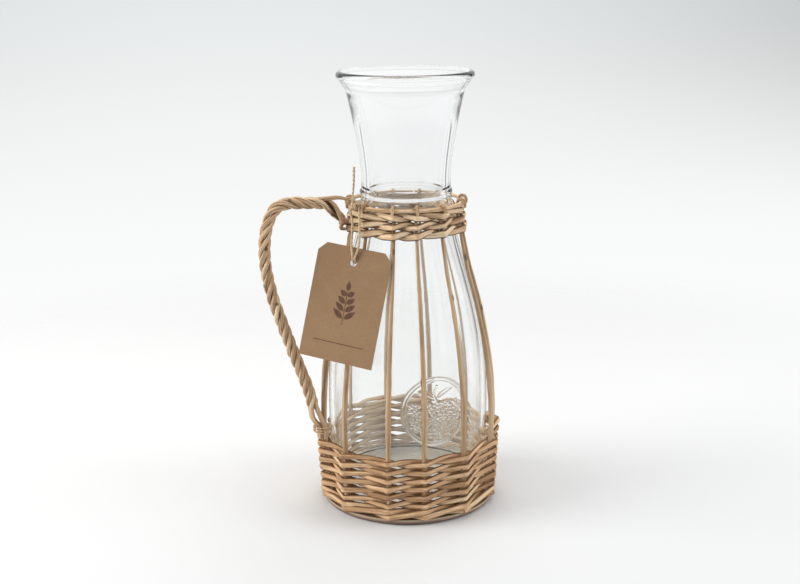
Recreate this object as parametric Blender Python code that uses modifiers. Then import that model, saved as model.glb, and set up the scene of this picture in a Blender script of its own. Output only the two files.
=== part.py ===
# Wicker-covered wine carafe: a flared glass decanter in a willow jacket with a twisted handle and a hang tag.
# The origin is the middle of the base board's underside. Azimuth 0 points along -Y and grows towards +X.

import math

import bmesh
import bpy
from mathutils import Matrix, Vector

# Gap kept between pieces that touch
GAP = 0.0003

# Glass decanter, heights counted from its own foot
GLASS_HEIGHT = 0.2672
HEEL_RADIUS = 0.0478
HEEL_ROUND = 0.0045
BELLY_RADIUS = 0.0504
BELLY_HEIGHT = 0.058
NECK_RADIUS = 0.0274
NECK_HEIGHT = 0.201
SHOULDER_CURVE = 1.23
MOUTH_RADIUS = 0.0362
MOUTH_HEIGHT = 0.2560
FLARE_CURVE = 1.5
LIP_RADIUS = 0.0420
LIP_BEAD_RADIUS = 0.0024
NECK_RING_HEIGHT = 0.194
NECK_RING_PROUD = 0.0012
NECK_RING_HALF_WIDTH = 0.0026
WALL = 0.0034
FLOOR_THICKNESS = 0.008
FLOOR_ROUND = 0.006
PUNT_RISE = 0.0015
FOOT_RING_WIDTH = 0.006
GLASS_SIDES = 32

# Base board that the stakes are planted in
BASE_THICKNESS = 0.004
BASE_MARGIN = 0.0011
STAKE_HOLE_DEPTH = 0.003

# Stakes, one at each azimuth in degrees
STAKE_AZIMUTHS = (-164, -131, -98, -74, -45, -13, 10, 38, 72, 97, 130, 163)
STAKE_RADIUS = 0.00165
COLLAR_STAKE_RADIUS = 0.00105
STAKE_TIP_RADIUS = 0.0009
STAKE_TIP_DROP = 0.0024
WAIST_EASE = 0.0006
WAIST_HEIGHT = 0.115

# Rods of the basket weave
BASKET_ROWS = 6
ROD_RADIUS = 0.00116
ROD_SWELL = 1.18
ROD_SQUEEZE = 0.95
BASKET_EASE = 0.0004
CORNER_EASE = 0.0003
BUTT_GAP = 0.0012
# The top row runs round the back alone: (stake that each rod starts at, bays that it covers)
TOP_ROW_RODS = ((8, 6), (9, 4))

# Rods of the collar weave and the border rod on top of it
COLLAR_ROWS = 3
COLLAR_BOTTOM = 0.1744
COLLAR_ROD_RADIUS = 0.0011
COLLAR_ROD_SWELL = 1.15
COLLAR_ROD_SQUEEZE = 0.76
COLLAR_EASE = 0.0004
BORDER_RADIUS = 0.0012
BORDER_EASE = 0.0006

# Handle: four rods laid round a centre line of (distance from the axis, height)
HANDLE_STAKE = 3
HANDLE_LINE = (
    (0.0530, 0.1937), (0.0640, 0.1942), (0.0728, 0.1948), (0.0800, 0.1930), (0.0846, 0.1880),
    (0.0880, 0.1780), (0.0892, 0.1670), (0.0888, 0.1570), (0.0872, 0.1462), (0.0838, 0.1325),
    (0.0794, 0.1190), (0.0743, 0.1040), (0.0690, 0.0890), (0.0646, 0.0760), (0.0618, 0.0645))
HANDLE_RODS = 4
HANDLE_ROD_RADIUS = 0.0013
HANDLE_LAY = 0.028
HANDLE_POINTS_PER_TURN = 8
HANDLE_END_TURN = 0.625
HANDLE_EASE = 0.0004
HANDLE_TIP_RADIUS = 0.00095
UPPER_TIP_SHIFT = -9.0
UPPER_TIP_SWEEP = 5.0
UPPER_TIP_REACH = 0.0075
UPPER_TIP_RISE = 0.0040
# The three lower rods end against the collar, this far apart in height and one of them between two rows
LOWER_TIP_PITCH = 0.0027
LOWER_TIP_REACH = 0.0032
LOWER_TIP_RISE = 0.0012
LOWER_TIP_SIDES = (0.0008, -0.0008, 0.0008)
# They draw together this far inside the handle's start, at these drops and sides
GATHER_REACH = 0.0062
GATHER_DROPS = (0.0049, 0.0063, 0.0100)
GATHER_SIDES = (0.0016, -0.0016, 0.0)
# Share of a turn at which each handle rod starts: on top, at the two sides and underneath
HANDLE_PLACES = (0.25, 0.0, 0.5, 0.75)

# Cane that binds the handle's foot to its stake
LASHING_RADIUS = 0.0006
LASHING_TURNS = 2.25
LASHING_PITCH = 0.0017
LASHING_RISE = 0.005
LASHING_EASE = 0.0010

# Hang tag: a card whose back rests on the stake beside it
TAG_WIDTH = 0.048
TAG_LENGTH = 0.070
TAG_THICKNESS = 0.0006
TAG_CORNER = 0.0052
TAG_HOLE_RADIUS = 0.0024
TAG_HOLE_DROP = 0.009
TAG_STAKE = 5
TAG_SIDE = -0.0320
TAG_HOLE_HEIGHT = 0.1602
TAG_YAW = -20.0
TAG_LEAN = 14.3
TAG_ROLL = 7.0

# Twine of the tag, knotted to the border rod and behind the card
TWINE_RADIUS = 0.00062
KNOT_AZIMUTH = -52.2
KNOT_RISE = 0.0012
KNOT_TURNS = 2
KNOT_TAIL_SHIFT = 2.5
LOOSE_END_LENGTH = 0.020
STOP_KNOT_RADIUS = 0.0026
STRING_END_DEPTH = 0.0


def glass_foot():
    return BASE_THICKNESS + GAP


def glass_radius(height):
    # Outer radius of the glass without its neck ring, height above its foot
    if height <= BELLY_HEIGHT:
        share = max(0.0, (height - HEEL_ROUND) / (BELLY_HEIGHT - HEEL_ROUND))
        return HEEL_RADIUS + (BELLY_RADIUS - HEEL_RADIUS) * math.sin(math.pi / 2 * share)
    if height <= NECK_HEIGHT:
        share = ((height - BELLY_HEIGHT) / (NECK_HEIGHT - BELLY_HEIGHT)) ** SHOULDER_CURVE
        return NECK_RADIUS + (BELLY_RADIUS - NECK_RADIUS) * (1 + math.cos(math.pi * share)) / 2
    share = (height - NECK_HEIGHT) / (MOUTH_HEIGHT - NECK_HEIGHT)
    return NECK_RADIUS + (MOUTH_RADIUS - NECK_RADIUS) * share ** FLARE_CURVE


def neck_ring(height):
    offset = abs(height - NECK_RING_HEIGHT) / NECK_RING_HALF_WIDTH
    return NECK_RING_PROUD * (1 + math.cos(math.pi * offset)) / 2 if offset < 1 else 0.0


# Radial room that the weave takes between the glass and the middle of a stake
BASKET_STANDOFF = STAKE_RADIUS + 2 * GAP + 2 * ROD_RADIUS * ROD_SQUEEZE + BASKET_EASE
COLLAR_STANDOFF = COLLAR_STAKE_RADIUS + 2 * GAP + 2 * COLLAR_ROD_RADIUS * COLLAR_ROD_SQUEEZE + COLLAR_EASE
WAIST_STANDOFF = STAKE_RADIUS + GAP + WAIST_EASE

# Heights of the weave's rows, worked up from the base board and from the collar's bottom
CROSSING = ROD_RADIUS + 0.9 * GAP
ROW_PITCH = 2 * CROSSING + 2 * ROD_RADIUS + GAP
WALE_CROSSING = CROSSING + GAP
WALE_HEIGHT = BASE_THICKNESS + GAP + WALE_CROSSING + ROD_RADIUS * ROD_SWELL
FIRST_ROW = WALE_HEIGHT + ROW_PITCH + WALE_CROSSING - CROSSING
BASKET_TOP = FIRST_ROW + (BASKET_ROWS - 1) * ROW_PITCH + CROSSING + ROD_RADIUS
COLLAR_CROSSING = COLLAR_ROD_RADIUS + 0.9 * GAP
COLLAR_PITCH = 2 * COLLAR_CROSSING + 2 * COLLAR_ROD_RADIUS + GAP
FIRST_COLLAR_ROW = COLLAR_BOTTOM + COLLAR_CROSSING + COLLAR_ROD_RADIUS
LAST_COLLAR_ROW = FIRST_COLLAR_ROW + (COLLAR_ROWS - 1) * COLLAR_PITCH
BORDER_HEIGHT = LAST_COLLAR_ROW + COLLAR_CROSSING + COLLAR_ROD_RADIUS + GAP + BORDER_RADIUS + BORDER_EASE


def ease(value, start, end):
    share = min(1.0, max(0.0, (value - start) / (end - start)))
    return share * share * (3 - 2 * share)


def stake_thickness(height):
    return STAKE_RADIUS + (COLLAR_STAKE_RADIUS - STAKE_RADIUS) * ease(height, BASKET_TOP, COLLAR_BOTTOM)


def stake_line(height):
    # Distance of a stake's middle from the axis, height above the ground
    standoff = BASKET_STANDOFF + (WAIST_STANDOFF - BASKET_STANDOFF) * ease(height, BASKET_TOP, WAIST_HEIGHT)
    standoff += (COLLAR_STANDOFF - WAIST_STANDOFF) * ease(height, COLLAR_BOTTOM - 0.02, COLLAR_BOTTOM)
    return glass_radius(height - glass_foot()) + standoff


BORDER_LINE = stake_line(LAST_COLLAR_ROW) + COLLAR_STAKE_RADIUS + GAP + BORDER_RADIUS


def place(azimuth, distance, height):
    angle = math.radians(azimuth)
    return Vector((distance * math.sin(angle), -distance * math.cos(angle), height))


def outward(azimuth):
    return place(azimuth, 1.0, 0.0)


def sideways(azimuth):
    angle = math.radians(azimuth)
    return Vector((math.cos(angle), math.sin(angle), 0.0))


def smooth_route(points, steps):
    # Points of a curve that runs smoothly through the given ones
    points = [Vector(point) for point in points]
    padded = [2 * points[0] - points[1]] + points + [2 * points[-1] - points[-2]]
    route = []
    for index in range(1, len(padded) - 2):
        before, start, end, after = padded[index - 1:index + 3]
        for step in range(steps):
            t = step / steps
            route.append(0.5 * (2 * start + (end - before) * t
                                + (2 * before - 5 * start + 4 * end - after) * t ** 2
                                + (3 * start - before - 3 * end + after) * t ** 3))
    return route + [points[-1]]


def evenly_spaced(route, count):
    # The same route with count points at equal distances along it
    reached = [0.0]
    for start, end in zip(route, route[1:]):
        reached.append(reached[-1] + (end - start).length)
    spaced = []
    index = 0
    for number in range(count):
        wanted = reached[-1] * number / (count - 1)
        while index < len(route) - 2 and reached[index + 1] < wanted:
            index += 1
        share = (wanted - reached[index]) / (reached[index + 1] - reached[index])
        spaced.append(route[index].lerp(route[index + 1], min(1.0, share)))
    return spaced


def over_border(azimuth, radius, turns, ease_out=1.0):
    # Points of a rod of this radius that bends over the border rod, turns being angles from the outside
    reach = (BORDER_RADIUS + GAP + radius) * ease_out
    points = []
    for turn in turns:
        angle = math.radians(turn)
        points.append(place(azimuth, BORDER_LINE + reach * math.cos(angle),
                            BORDER_HEIGHT + reach * math.sin(angle)))
    return points


def clear_scene():
    for old in list(bpy.data.objects):
        bpy.data.objects.remove(old, do_unlink=True)


def new_collection(name):
    collection = bpy.data.collections.new(name)
    bpy.context.scene.collection.children.link(collection)
    return collection


def new_material(name, color, roughness, transmission=0.0):
    material = bpy.data.materials.new(name)
    material.use_nodes = True
    shader = material.node_tree.nodes["Principled BSDF"]
    shader.inputs["Base Color"].default_value = (*color, 1.0)
    shader.inputs["Roughness"].default_value = roughness
    shader.inputs["Metallic"].default_value = 0.0
    shader.inputs["Transmission Weight"].default_value = transmission
    material.diffuse_color = (*color, 1.0)
    return material


def add_object(name, data, material, collection):
    piece = bpy.data.objects.new(name, data)
    data.materials.append(material)
    collection.objects.link(piece)
    return piece


def rod(name, route, radii, material, sides=1):
    # A round rod along a route, radii being one radius or one for each point
    curve = bpy.data.curves.new(name, "CURVE")
    curve.dimensions = "3D"
    spline = curve.splines.new("POLY")
    spline.points.add(len(route) - 1)
    widest = max(radii) if isinstance(radii, list) else radii
    for index, point in enumerate(route):
        spline.points[index].co = (*point, 1.0)
        spline.points[index].radius = radii[index] / widest if isinstance(radii, list) else 1.0
    spline.use_smooth = True
    curve.bevel_depth = widest
    curve.bevel_resolution = sides
    curve.use_fill_caps = True
    return add_object(name, curve, material, parts)


def glass_outer_side():
    # Outer outline from the lip's underside down to the heel
    heights = [MOUTH_HEIGHT - step / 4 * (MOUTH_HEIGHT - NECK_HEIGHT) for step in range(5)]
    heights += [NECK_RING_HEIGHT + side * NECK_RING_HALF_WIDTH for side in (1, 0.4, -0.4, -1)]
    under_ring = NECK_RING_HEIGHT - NECK_RING_HALF_WIDTH
    heights += [under_ring + step / 9 * (BELLY_HEIGHT - under_ring) for step in range(1, 10)]
    heights += [BELLY_HEIGHT + step / 3 * (HEEL_ROUND - BELLY_HEIGHT) for step in range(1, 3)]
    return [(glass_radius(height) + neck_ring(height), height) for height in heights]


def glass_inner_side():
    # Inner outline from the floor's rounded edge up to the mouth
    low = FLOOR_THICKNESS + FLOOR_ROUND
    heights = [low, BELLY_HEIGHT]
    heights += [BELLY_HEIGHT + step / 6 * (NECK_HEIGHT - BELLY_HEIGHT) for step in range(1, 7)]
    heights += [NECK_HEIGHT + step / 3 * (MOUTH_HEIGHT - NECK_HEIGHT) for step in range(1, 4)]
    return [(glass_radius(height) - WALL, height) for height in heights]


def arc(centre, radius, start, end, steps):
    angles = [math.radians(start + step / steps * (end - start)) for step in range(steps + 1)]
    return [(centre[0] + radius * math.cos(angle), centre[1] + radius * math.sin(angle)) for angle in angles]


def glass_carafe():
    inner = glass_inner_side()
    floor_corner = (inner[0][0] - FLOOR_ROUND, FLOOR_THICKNESS + FLOOR_ROUND)
    lip_centre = (LIP_RADIUS - LIP_BEAD_RADIUS, GLASS_HEIGHT - LIP_BEAD_RADIUS)
    outline = [(0.0, FLOOR_THICKNESS)]
    outline += arc(floor_corner, FLOOR_ROUND, -90, -30, 2)
    outline += inner
    outline += arc(lip_centre, LIP_BEAD_RADIUS, 160, -60, 5)
    outline += glass_outer_side()
    outline += arc((HEEL_RADIUS - HEEL_ROUND, HEEL_ROUND), HEEL_ROUND, 0, -90, 3)
    outline.append((HEEL_RADIUS - HEEL_ROUND - FOOT_RING_WIDTH, 0.0))
    outline.append((0.0, PUNT_RISE))
    mesh = bpy.data.meshes.new("glass_carafe")
    points = [(radius, 0.0, height) for radius, height in outline]
    mesh.from_pydata(points, [(index, index + 1) for index in range(len(points) - 1)], [])
    piece = add_object("glass_carafe", mesh, glass_material, parts)
    piece.location.z = glass_foot()
    screw = piece.modifiers.new("turn", "SCREW")
    screw.angle = math.tau
    screw.steps = GLASS_SIDES
    screw.render_steps = GLASS_SIDES
    screw.use_merge_vertices = True
    screw.merge_threshold = 0.00001
    screw.use_smooth_shade = True


def base_board():
    stake_foot = stake_line(BASE_THICKNESS)
    bpy.ops.mesh.primitive_cylinder_add(vertices=48, radius=stake_foot + STAKE_RADIUS + GAP + BASE_MARGIN,
                                        depth=BASE_THICKNESS, location=(0, 0, BASE_THICKNESS / 2))
    board = bpy.context.object
    board.name = "base_board"
    board.data.materials.append(board_material)
    move_to(board, parts)
    drill_mesh = bmesh.new()
    for azimuth in STAKE_AZIMUTHS:
        middle = place(azimuth, stake_foot, BASE_THICKNESS)
        bmesh.ops.create_cone(drill_mesh, cap_ends=True, segments=10, radius1=STAKE_RADIUS + GAP,
                              radius2=STAKE_RADIUS + GAP, depth=2 * STAKE_HOLE_DEPTH,
                              matrix=Matrix.Translation(middle))
    mesh = bpy.data.meshes.new("stake_drill")
    drill_mesh.to_mesh(mesh)
    drill_mesh.free()
    drill = bpy.data.objects.new("stake_drill", mesh)
    cutters.objects.link(drill)
    drill.hide_render = True
    drill.display_type = "WIRE"
    cut = board.modifiers.new("stake_holes", "BOOLEAN")
    cut.operation = "DIFFERENCE"
    cut.object = drill


def move_to(piece, collection):
    for old in list(piece.users_collection):
        old.objects.unlink(piece)
    collection.objects.link(piece)


def stakes():
    foot = BASE_THICKNESS - STAKE_HOLE_DEPTH + GAP
    heights = [foot, BASE_THICKNESS + GAP, 0.5 * BASKET_TOP, BASKET_TOP]
    heights += [BASKET_TOP + step / 6 * (COLLAR_BOTTOM - BASKET_TOP) for step in range(1, 7)]
    heights += [(COLLAR_BOTTOM + LAST_COLLAR_ROW) / 2, LAST_COLLAR_ROW]
    for number, azimuth in enumerate(STAKE_AZIMUTHS, 1):
        route = [place(azimuth, stake_line(max(height, BASE_THICKNESS)), height) for height in heights]
        radii = [stake_thickness(height) for height in heights]
        hook = over_border(azimuth, STAKE_TIP_RADIUS, (180, 130, 90, 50, 0), 1.05)
        route += hook + [hook[-1] - Vector((0, 0, STAKE_TIP_DROP))]
        radii += [STAKE_TIP_RADIUS] * (len(hook) + 1)
        rod(f"stake_{number:02d}", route, radii, willow_material)


# One repeat of each weave as (side of the stake, step up or down) at each stake and halfway to the next.
# A side of 1 is in front of the stake and -1 behind it.
PAIRING = ((1, 0), (0, 1), (-1, 0), (0, -1))
WALE = ((1, -1), (1, 0), (1, 1), (0, 1), (-1, 0), (0, -1))


def weaver(name, pattern, start, lag, height, slant, sizes, bays=len(STAKE_AZIMUTHS)):
    # One rod woven round the stakes from the stake numbered start, once round where bays isn't given
    rod_radius, swell, squeeze, crossing = sizes
    count = len(STAKE_AZIMUTHS)
    per_bay = 2
    line = stake_line(height)
    outer = stake_thickness(height) + GAP + CORNER_EASE + rod_radius * swell
    inner = stake_thickness(height) + GAP + rod_radius * squeeze
    route = []
    radii = []
    for step in range(bays * per_bay + 1):
        bay, part_way = divmod(step, per_bay)
        share = part_way / per_bay
        side, lift = pattern[(step + lag * per_bay) % len(pattern)]
        here = (start + bay) % count
        reach = line + (outer if side > 0 else inner) * side
        left = place(STAKE_AZIMUTHS[here], reach, 0)
        right = place(STAKE_AZIMUTHS[(here + 1) % count], reach, 0)
        point = left.lerp(right, share)
        point.z = height + slant * crossing * lift
        route.append(point)
        radii.append(rod_radius * (swell if side >= 1 else squeeze if side <= -1 else 1.0))
    last_run = route[-1] - route[-2]
    route[-1] = route[-1] - last_run.normalized() * BUTT_GAP
    rod(name, route, radii, willow_material)


def basket_weave():
    sizes = (ROD_RADIUS, ROD_SWELL, ROD_SQUEEZE, WALE_CROSSING)
    for index, letter in enumerate("abc"):
        weaver(f"foot_wale_{letter}", WALE, 10 + index, 2, WALE_HEIGHT, 1, sizes)
    sizes = (ROD_RADIUS, ROD_SWELL, ROD_SQUEEZE, CROSSING)
    for row in range(BASKET_ROWS):
        height = FIRST_ROW + row * ROW_PITCH
        for index, letter in enumerate("ab"):
            weaver(f"basket_row_{row + 1}{letter}", PAIRING, 9 + row % 3 + index, 1, height, 1, sizes)
    top = FIRST_ROW + BASKET_ROWS * ROW_PITCH
    for letter, (start, bays) in zip("ab", TOP_ROW_RODS):
        weaver(f"basket_top_row_{letter}", PAIRING, start, 1, top, 1, sizes, bays)


def collar_weave():
    sizes = (COLLAR_ROD_RADIUS, COLLAR_ROD_SWELL, COLLAR_ROD_SQUEEZE, COLLAR_CROSSING)
    for row in range(COLLAR_ROWS):
        height = FIRST_COLLAR_ROW + row * COLLAR_PITCH
        slant = -1 if row == COLLAR_ROWS - 1 else 1
        for index, letter in enumerate("ab"):
            weaver(f"collar_row_{row + 1}{letter}", PAIRING, 9 + row % 3 + index, 1, height, slant, sizes)
    start = STAKE_AZIMUTHS[-1] + 8
    turn = 360 - math.degrees(BUTT_GAP / BORDER_LINE)
    route = [place(start + step / 28 * turn, BORDER_LINE, BORDER_HEIGHT) for step in range(29)]
    rod("border_rod", route, BORDER_RADIUS, willow_material)


def handle_frame():
    # Centre line of the handle with its directions across, towards the outside and sideways
    azimuth = STAKE_AZIMUTHS[HANDLE_STAKE]
    line = smooth_route([place(azimuth, distance, height) for distance, height in HANDLE_LINE], 6)
    length = sum((end - start).length for start, end in zip(line, line[1:]))
    turns = round(length / HANDLE_LAY - HANDLE_END_TURN) + HANDLE_END_TURN
    count = round(turns * HANDLE_POINTS_PER_TURN) + 1
    line = evenly_spaced(line, count)
    side = sideways(azimuth)
    frame = []
    for index, point in enumerate(line):
        along = (line[min(index + 1, count - 1)] - line[max(index - 1, 0)]).normalized()
        frame.append((point, side, along.cross(side)))
    return frame


def collar_tips():
    # Where each handle rod ends at the collar: one hooks over the border rod, the others end on its strokes
    azimuth = STAKE_AZIMUTHS[HANDLE_STAKE]
    aside = azimuth + UPPER_TIP_SHIFT
    tips = [over_border(aside, HANDLE_TIP_RADIUS, (180, 135, 90, 55), 1.1)]
    tips[0].append(place(aside + UPPER_TIP_SWEEP, BORDER_LINE + UPPER_TIP_REACH, BORDER_HEIGHT + UPPER_TIP_RISE))
    between_rows = LAST_COLLAR_ROW - 1.5 * COLLAR_PITCH
    stroke = 2 * COLLAR_ROD_RADIUS * COLLAR_ROD_SWELL + CORNER_EASE
    for steps_up, on_stroke, beside in zip((1, 0, -1), (True, False, True), LOWER_TIP_SIDES):
        height = between_rows + steps_up * LOWER_TIP_PITCH
        aside = sideways(azimuth) * beside
        face = stake_line(height) + stake_thickness(height) + GAP
        outside = face + stroke + GAP
        tips.append([place(azimuth, outside if on_stroke else face, height) + aside,
                     place(azimuth, outside + LOWER_TIP_REACH, height + LOWER_TIP_RISE) + aside])
    middle = HANDLE_LINE[0][0] - GATHER_REACH
    for tip, drop, beside in zip(tips[1:], GATHER_DROPS, GATHER_SIDES):
        tip.append(place(azimuth, middle, HANDLE_LINE[0][1] - drop) + sideways(azimuth) * beside)
    return tips


def basket_tips():
    # Where each handle rod ends on top of the basket, at the front and the two sides of the stake
    azimuth = STAKE_AZIMUTHS[HANDLE_STAKE]
    beside = STAKE_RADIUS + GAP + HANDLE_ROD_RADIUS
    spots = ((beside, 0.0), (-beside, 0.0), (0.52 * beside, beside), (-0.52 * beside, beside))
    tips = []
    for across, out in spots:
        offset = sideways(azimuth) * across + outward(azimuth) * out
        low = place(azimuth, stake_line(BASKET_TOP), BASKET_TOP + GAP) + offset
        high = place(azimuth, stake_line(BASKET_TOP + LASHING_RISE), BASKET_TOP + 1.5 * LASHING_RISE) + offset
        tips.append([high, low])
    return tips


def handle():
    frame = handle_frame()
    lay_radius = (2 * HANDLE_ROD_RADIUS + GAP) / math.sqrt(2) + HANDLE_EASE
    starts = collar_tips()
    ends = basket_tips()
    for number in range(HANDLE_RODS):
        tip = starts[number]
        route = list(tip)
        radii = [HANDLE_TIP_RADIUS] * (len(tip) - 1) + [HANDLE_ROD_RADIUS * 0.85]
        for index, (point, side, up) in enumerate(frame):
            turn = math.tau * (index / HANDLE_POINTS_PER_TURN + HANDLE_PLACES[number])
            route.append(point + lay_radius * (math.cos(turn) * side + math.sin(turn) * up))
            radii.append(HANDLE_ROD_RADIUS)
        route += ends[number]
        radii += [HANDLE_ROD_RADIUS, HANDLE_ROD_RADIUS]
        rod(f"handle_rod_{number + 1}", route, radii, willow_material)


def foot_lashing():
    azimuth = STAKE_AZIMUTHS[HANDLE_STAKE]
    bottom = BASKET_TOP + LASHING_RISE
    reach = STAKE_RADIUS + GAP + 2 * HANDLE_ROD_RADIUS + GAP + LASHING_RADIUS
    behind = STAKE_RADIUS + GAP + LASHING_RADIUS
    half_depth = (reach + behind) / 2 + LASHING_EASE
    half_width = reach + LASHING_EASE
    steps = round(14 * LASHING_TURNS)
    route = []
    for step in range(steps + 1):
        turn = math.tau * step / 14
        height = bottom + LASHING_PITCH * step / 14
        middle = stake_line(height) + (reach - behind) / 2
        route.append(place(azimuth, middle, height) + sideways(azimuth) * half_width * math.cos(turn)
                     + outward(azimuth) * half_depth * math.sin(turn))
    rod("foot_lashing", route, LASHING_RADIUS, cane_material)


def tag_axes():
    # Directions of the card: along its top edge, up its face and out of its face
    yaw = Matrix.Rotation(math.radians(TAG_YAW), 3, "Z")
    lean = Matrix.Rotation(math.radians(-TAG_LEAN), 3, "X")
    roll = Matrix.Rotation(math.radians(TAG_ROLL), 3, "Y")
    turn = yaw @ lean @ roll
    return turn @ Vector((1, 0, 0)), turn @ Vector((0, 0, 1)), turn @ Vector((0, -1, 0)), turn


def tag_hole():
    # The hole's middle, as far out as the card's back rests on its stake
    azimuth = STAKE_AZIMUTHS[TAG_STAKE]
    swing = math.radians(azimuth - TAG_YAW)
    face = stake_line(TAG_HOLE_HEIGHT) * math.cos(swing) + stake_thickness(TAG_HOLE_HEIGHT)
    plane = face + TAG_THICKNESS / 2 + 3 * GAP
    yaw = math.radians(TAG_YAW)
    return Vector((TAG_SIDE, -(plane - abs(TAG_SIDE * math.sin(yaw))) / math.cos(yaw), TAG_HOLE_HEIGHT))


def hang_tag():
    half = TAG_WIDTH / 2
    top = TAG_HOLE_DROP
    corners = [(-half, top - TAG_LENGTH), (half, top - TAG_LENGTH), (half, top - TAG_CORNER),
               (half - TAG_CORNER, top), (-half + TAG_CORNER, top), (-half, top - TAG_CORNER)]
    hole = [(TAG_HOLE_RADIUS * math.cos(math.tau * step / 20), TAG_HOLE_RADIUS * math.sin(math.tau * step / 20))
            for step in range(20)]
    curve = bpy.data.curves.new("hang_tag", "CURVE")
    curve.dimensions = "2D"
    curve.fill_mode = "BOTH"
    curve.extrude = TAG_THICKNESS / 2
    for outline in (corners, hole):
        spline = curve.splines.new("POLY")
        spline.points.add(len(outline) - 1)
        for index, (x, y) in enumerate(outline):
            spline.points[index].co = (x, y, 0.0, 1.0)
        spline.use_cyclic_u = True
    card = add_object("hang_tag", curve, card_material, parts)
    turn = tag_axes()[3]
    card.matrix_world = Matrix.Translation(tag_hole()) @ (turn @ Matrix.Rotation(math.pi / 2, 3, "X")).to_4x4()


def knot_middle():
    reach = BORDER_LINE + BORDER_RADIUS + GAP + 2 * (2 * TWINE_RADIUS + GAP) - TWINE_RADIUS
    return place(KNOT_AZIMUTH, reach, BORDER_HEIGHT + KNOT_RISE)


def collar_knot():
    # Twine wound round the tag's strands, its loose end up and its tail over the border rod
    middle = knot_middle()
    along = sideways(TAG_YAW)
    out = outward(TAG_YAW)
    up = Vector((0, 0, 1))
    coil = 2 * TWINE_RADIUS + GAP
    pitch = 2 * TWINE_RADIUS + GAP
    steps = 10 * KNOT_TURNS
    start = middle - along * pitch * KNOT_TURNS / 2
    route = [start + up * (coil + LOOSE_END_LENGTH) - along * 0.0016, start + up * (coil + LOOSE_END_LENGTH / 2)]
    route.append(start + up * (coil + 0.0016) + out * coil * 0.6)
    for step in range(2, steps + 1):
        turn = math.tau * step / 10
        route.append(start + along * pitch * step / 10 + coil * (math.cos(turn) * up + math.sin(turn) * out))
    route += over_border(KNOT_AZIMUTH + KNOT_TAIL_SHIFT, TWINE_RADIUS, (60, 90, 120, 150, 185), 1.12)
    rod("collar_knot", route, TWINE_RADIUS, twine_material)


def tag_strings():
    # Two strands from inside the collar knot down through the card's hole to the stop knot
    middle = knot_middle()
    along = sideways(TAG_YAW)
    hole = tag_hole()
    across, up, front, turn = tag_axes()
    half_coil = (2 * TWINE_RADIUS + GAP) * KNOT_TURNS / 2
    bearing = up * (TAG_HOLE_RADIUS - GAP - TWINE_RADIUS) * 0.8
    clear = TAG_THICKNESS / 2 + GAP + TWINE_RADIUS
    for name, side in (("tag_string_left", -1), ("tag_string_right", 1)):
        shift = side * along
        bend = middle + shift * (half_coil + 2.2 * TWINE_RADIUS)
        landing = hole + bearing + front * (clear + 0.0006) + across * side * (TWINE_RADIUS + GAP / 2)
        corners = [middle + shift * GAP, middle + shift * half_coil, bend - Vector((0, 0, 0.0012)),
                   bend.lerp(landing, 0.5), landing + up * 0.003, landing - front * 0.0006,
                   hole + bearing - front * STRING_END_DEPTH + across * side * (TWINE_RADIUS + GAP / 2)]
        rod(name, evenly_spaced(smooth_route(corners, 6), 14), TWINE_RADIUS, twine_material, sides=2)


def stop_knot():
    # Lump that the strands end in behind the card
    hole = tag_hole()
    across, up, front, turn = tag_axes()
    bpy.ops.mesh.primitive_uv_sphere_add(segments=12, ring_count=8, radius=STOP_KNOT_RADIUS)
    knot = bpy.context.object
    knot.name = "stop_knot"
    knot.data.transform(Matrix.Diagonal((1.15, 0.62, 0.85, 1.0)))
    knot.data.materials.append(twine_material)
    knot.data.shade_smooth()
    depth = 0.62 * STOP_KNOT_RADIUS
    bearing = up * (TAG_HOLE_RADIUS - GAP - TWINE_RADIUS) * 0.8
    landing = hole + bearing - front * (STRING_END_DEPTH + GAP + depth)
    knot.matrix_world = Matrix.Translation(landing) @ turn.to_4x4()
    move_to(knot, parts)


clear_scene()
parts = new_collection("wicker_covered_carafe")
cutters = new_collection("cutters")
glass_material = new_material("clear_glass", (0.92, 0.95, 0.94), 0.03, transmission=1.0)
willow_material = new_material("peeled_willow", (0.47, 0.31, 0.18), 0.62)
cane_material = new_material("split_cane", (0.55, 0.38, 0.22), 0.55)
board_material = new_material("pale_plywood", (0.62, 0.51, 0.37), 0.7)
card_material = new_material("brown_card", (0.40, 0.25, 0.15), 0.85)
twine_material = new_material("jute_twine", (0.58, 0.42, 0.26), 0.9)

glass_carafe()
base_board()
stakes()
basket_weave()
collar_weave()
handle()
foot_lashing()
hang_tag()
collar_knot()
tag_strings()
stop_knot()
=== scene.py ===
import math
import random

import bmesh
import bpy
from mathutils import Matrix, Vector, noise


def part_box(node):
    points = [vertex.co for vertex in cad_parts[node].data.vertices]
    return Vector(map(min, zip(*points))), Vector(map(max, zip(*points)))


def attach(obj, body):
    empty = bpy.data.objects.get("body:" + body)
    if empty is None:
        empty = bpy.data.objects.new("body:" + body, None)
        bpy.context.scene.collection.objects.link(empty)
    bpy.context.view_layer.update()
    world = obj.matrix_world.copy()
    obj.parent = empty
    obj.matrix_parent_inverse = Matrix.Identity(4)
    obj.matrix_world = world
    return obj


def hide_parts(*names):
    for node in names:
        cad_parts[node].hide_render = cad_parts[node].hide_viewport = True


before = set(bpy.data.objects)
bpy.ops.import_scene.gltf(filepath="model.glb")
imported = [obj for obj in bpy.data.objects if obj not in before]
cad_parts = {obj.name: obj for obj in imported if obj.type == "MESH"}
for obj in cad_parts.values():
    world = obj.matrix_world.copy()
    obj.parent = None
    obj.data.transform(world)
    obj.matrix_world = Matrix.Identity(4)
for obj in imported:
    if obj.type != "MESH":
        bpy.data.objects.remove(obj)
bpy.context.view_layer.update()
chance = random.Random(27)
noise.seed_set(27)  # else its vectors differ from run to run
print("frame loaded")


# Places in the row frame: azimuth 0 is the front and grows towards +X

def place(azimuth, distance, height):
    angle = math.radians(azimuth)
    return Vector((distance * math.sin(angle), -distance * math.cos(angle), height))


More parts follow.
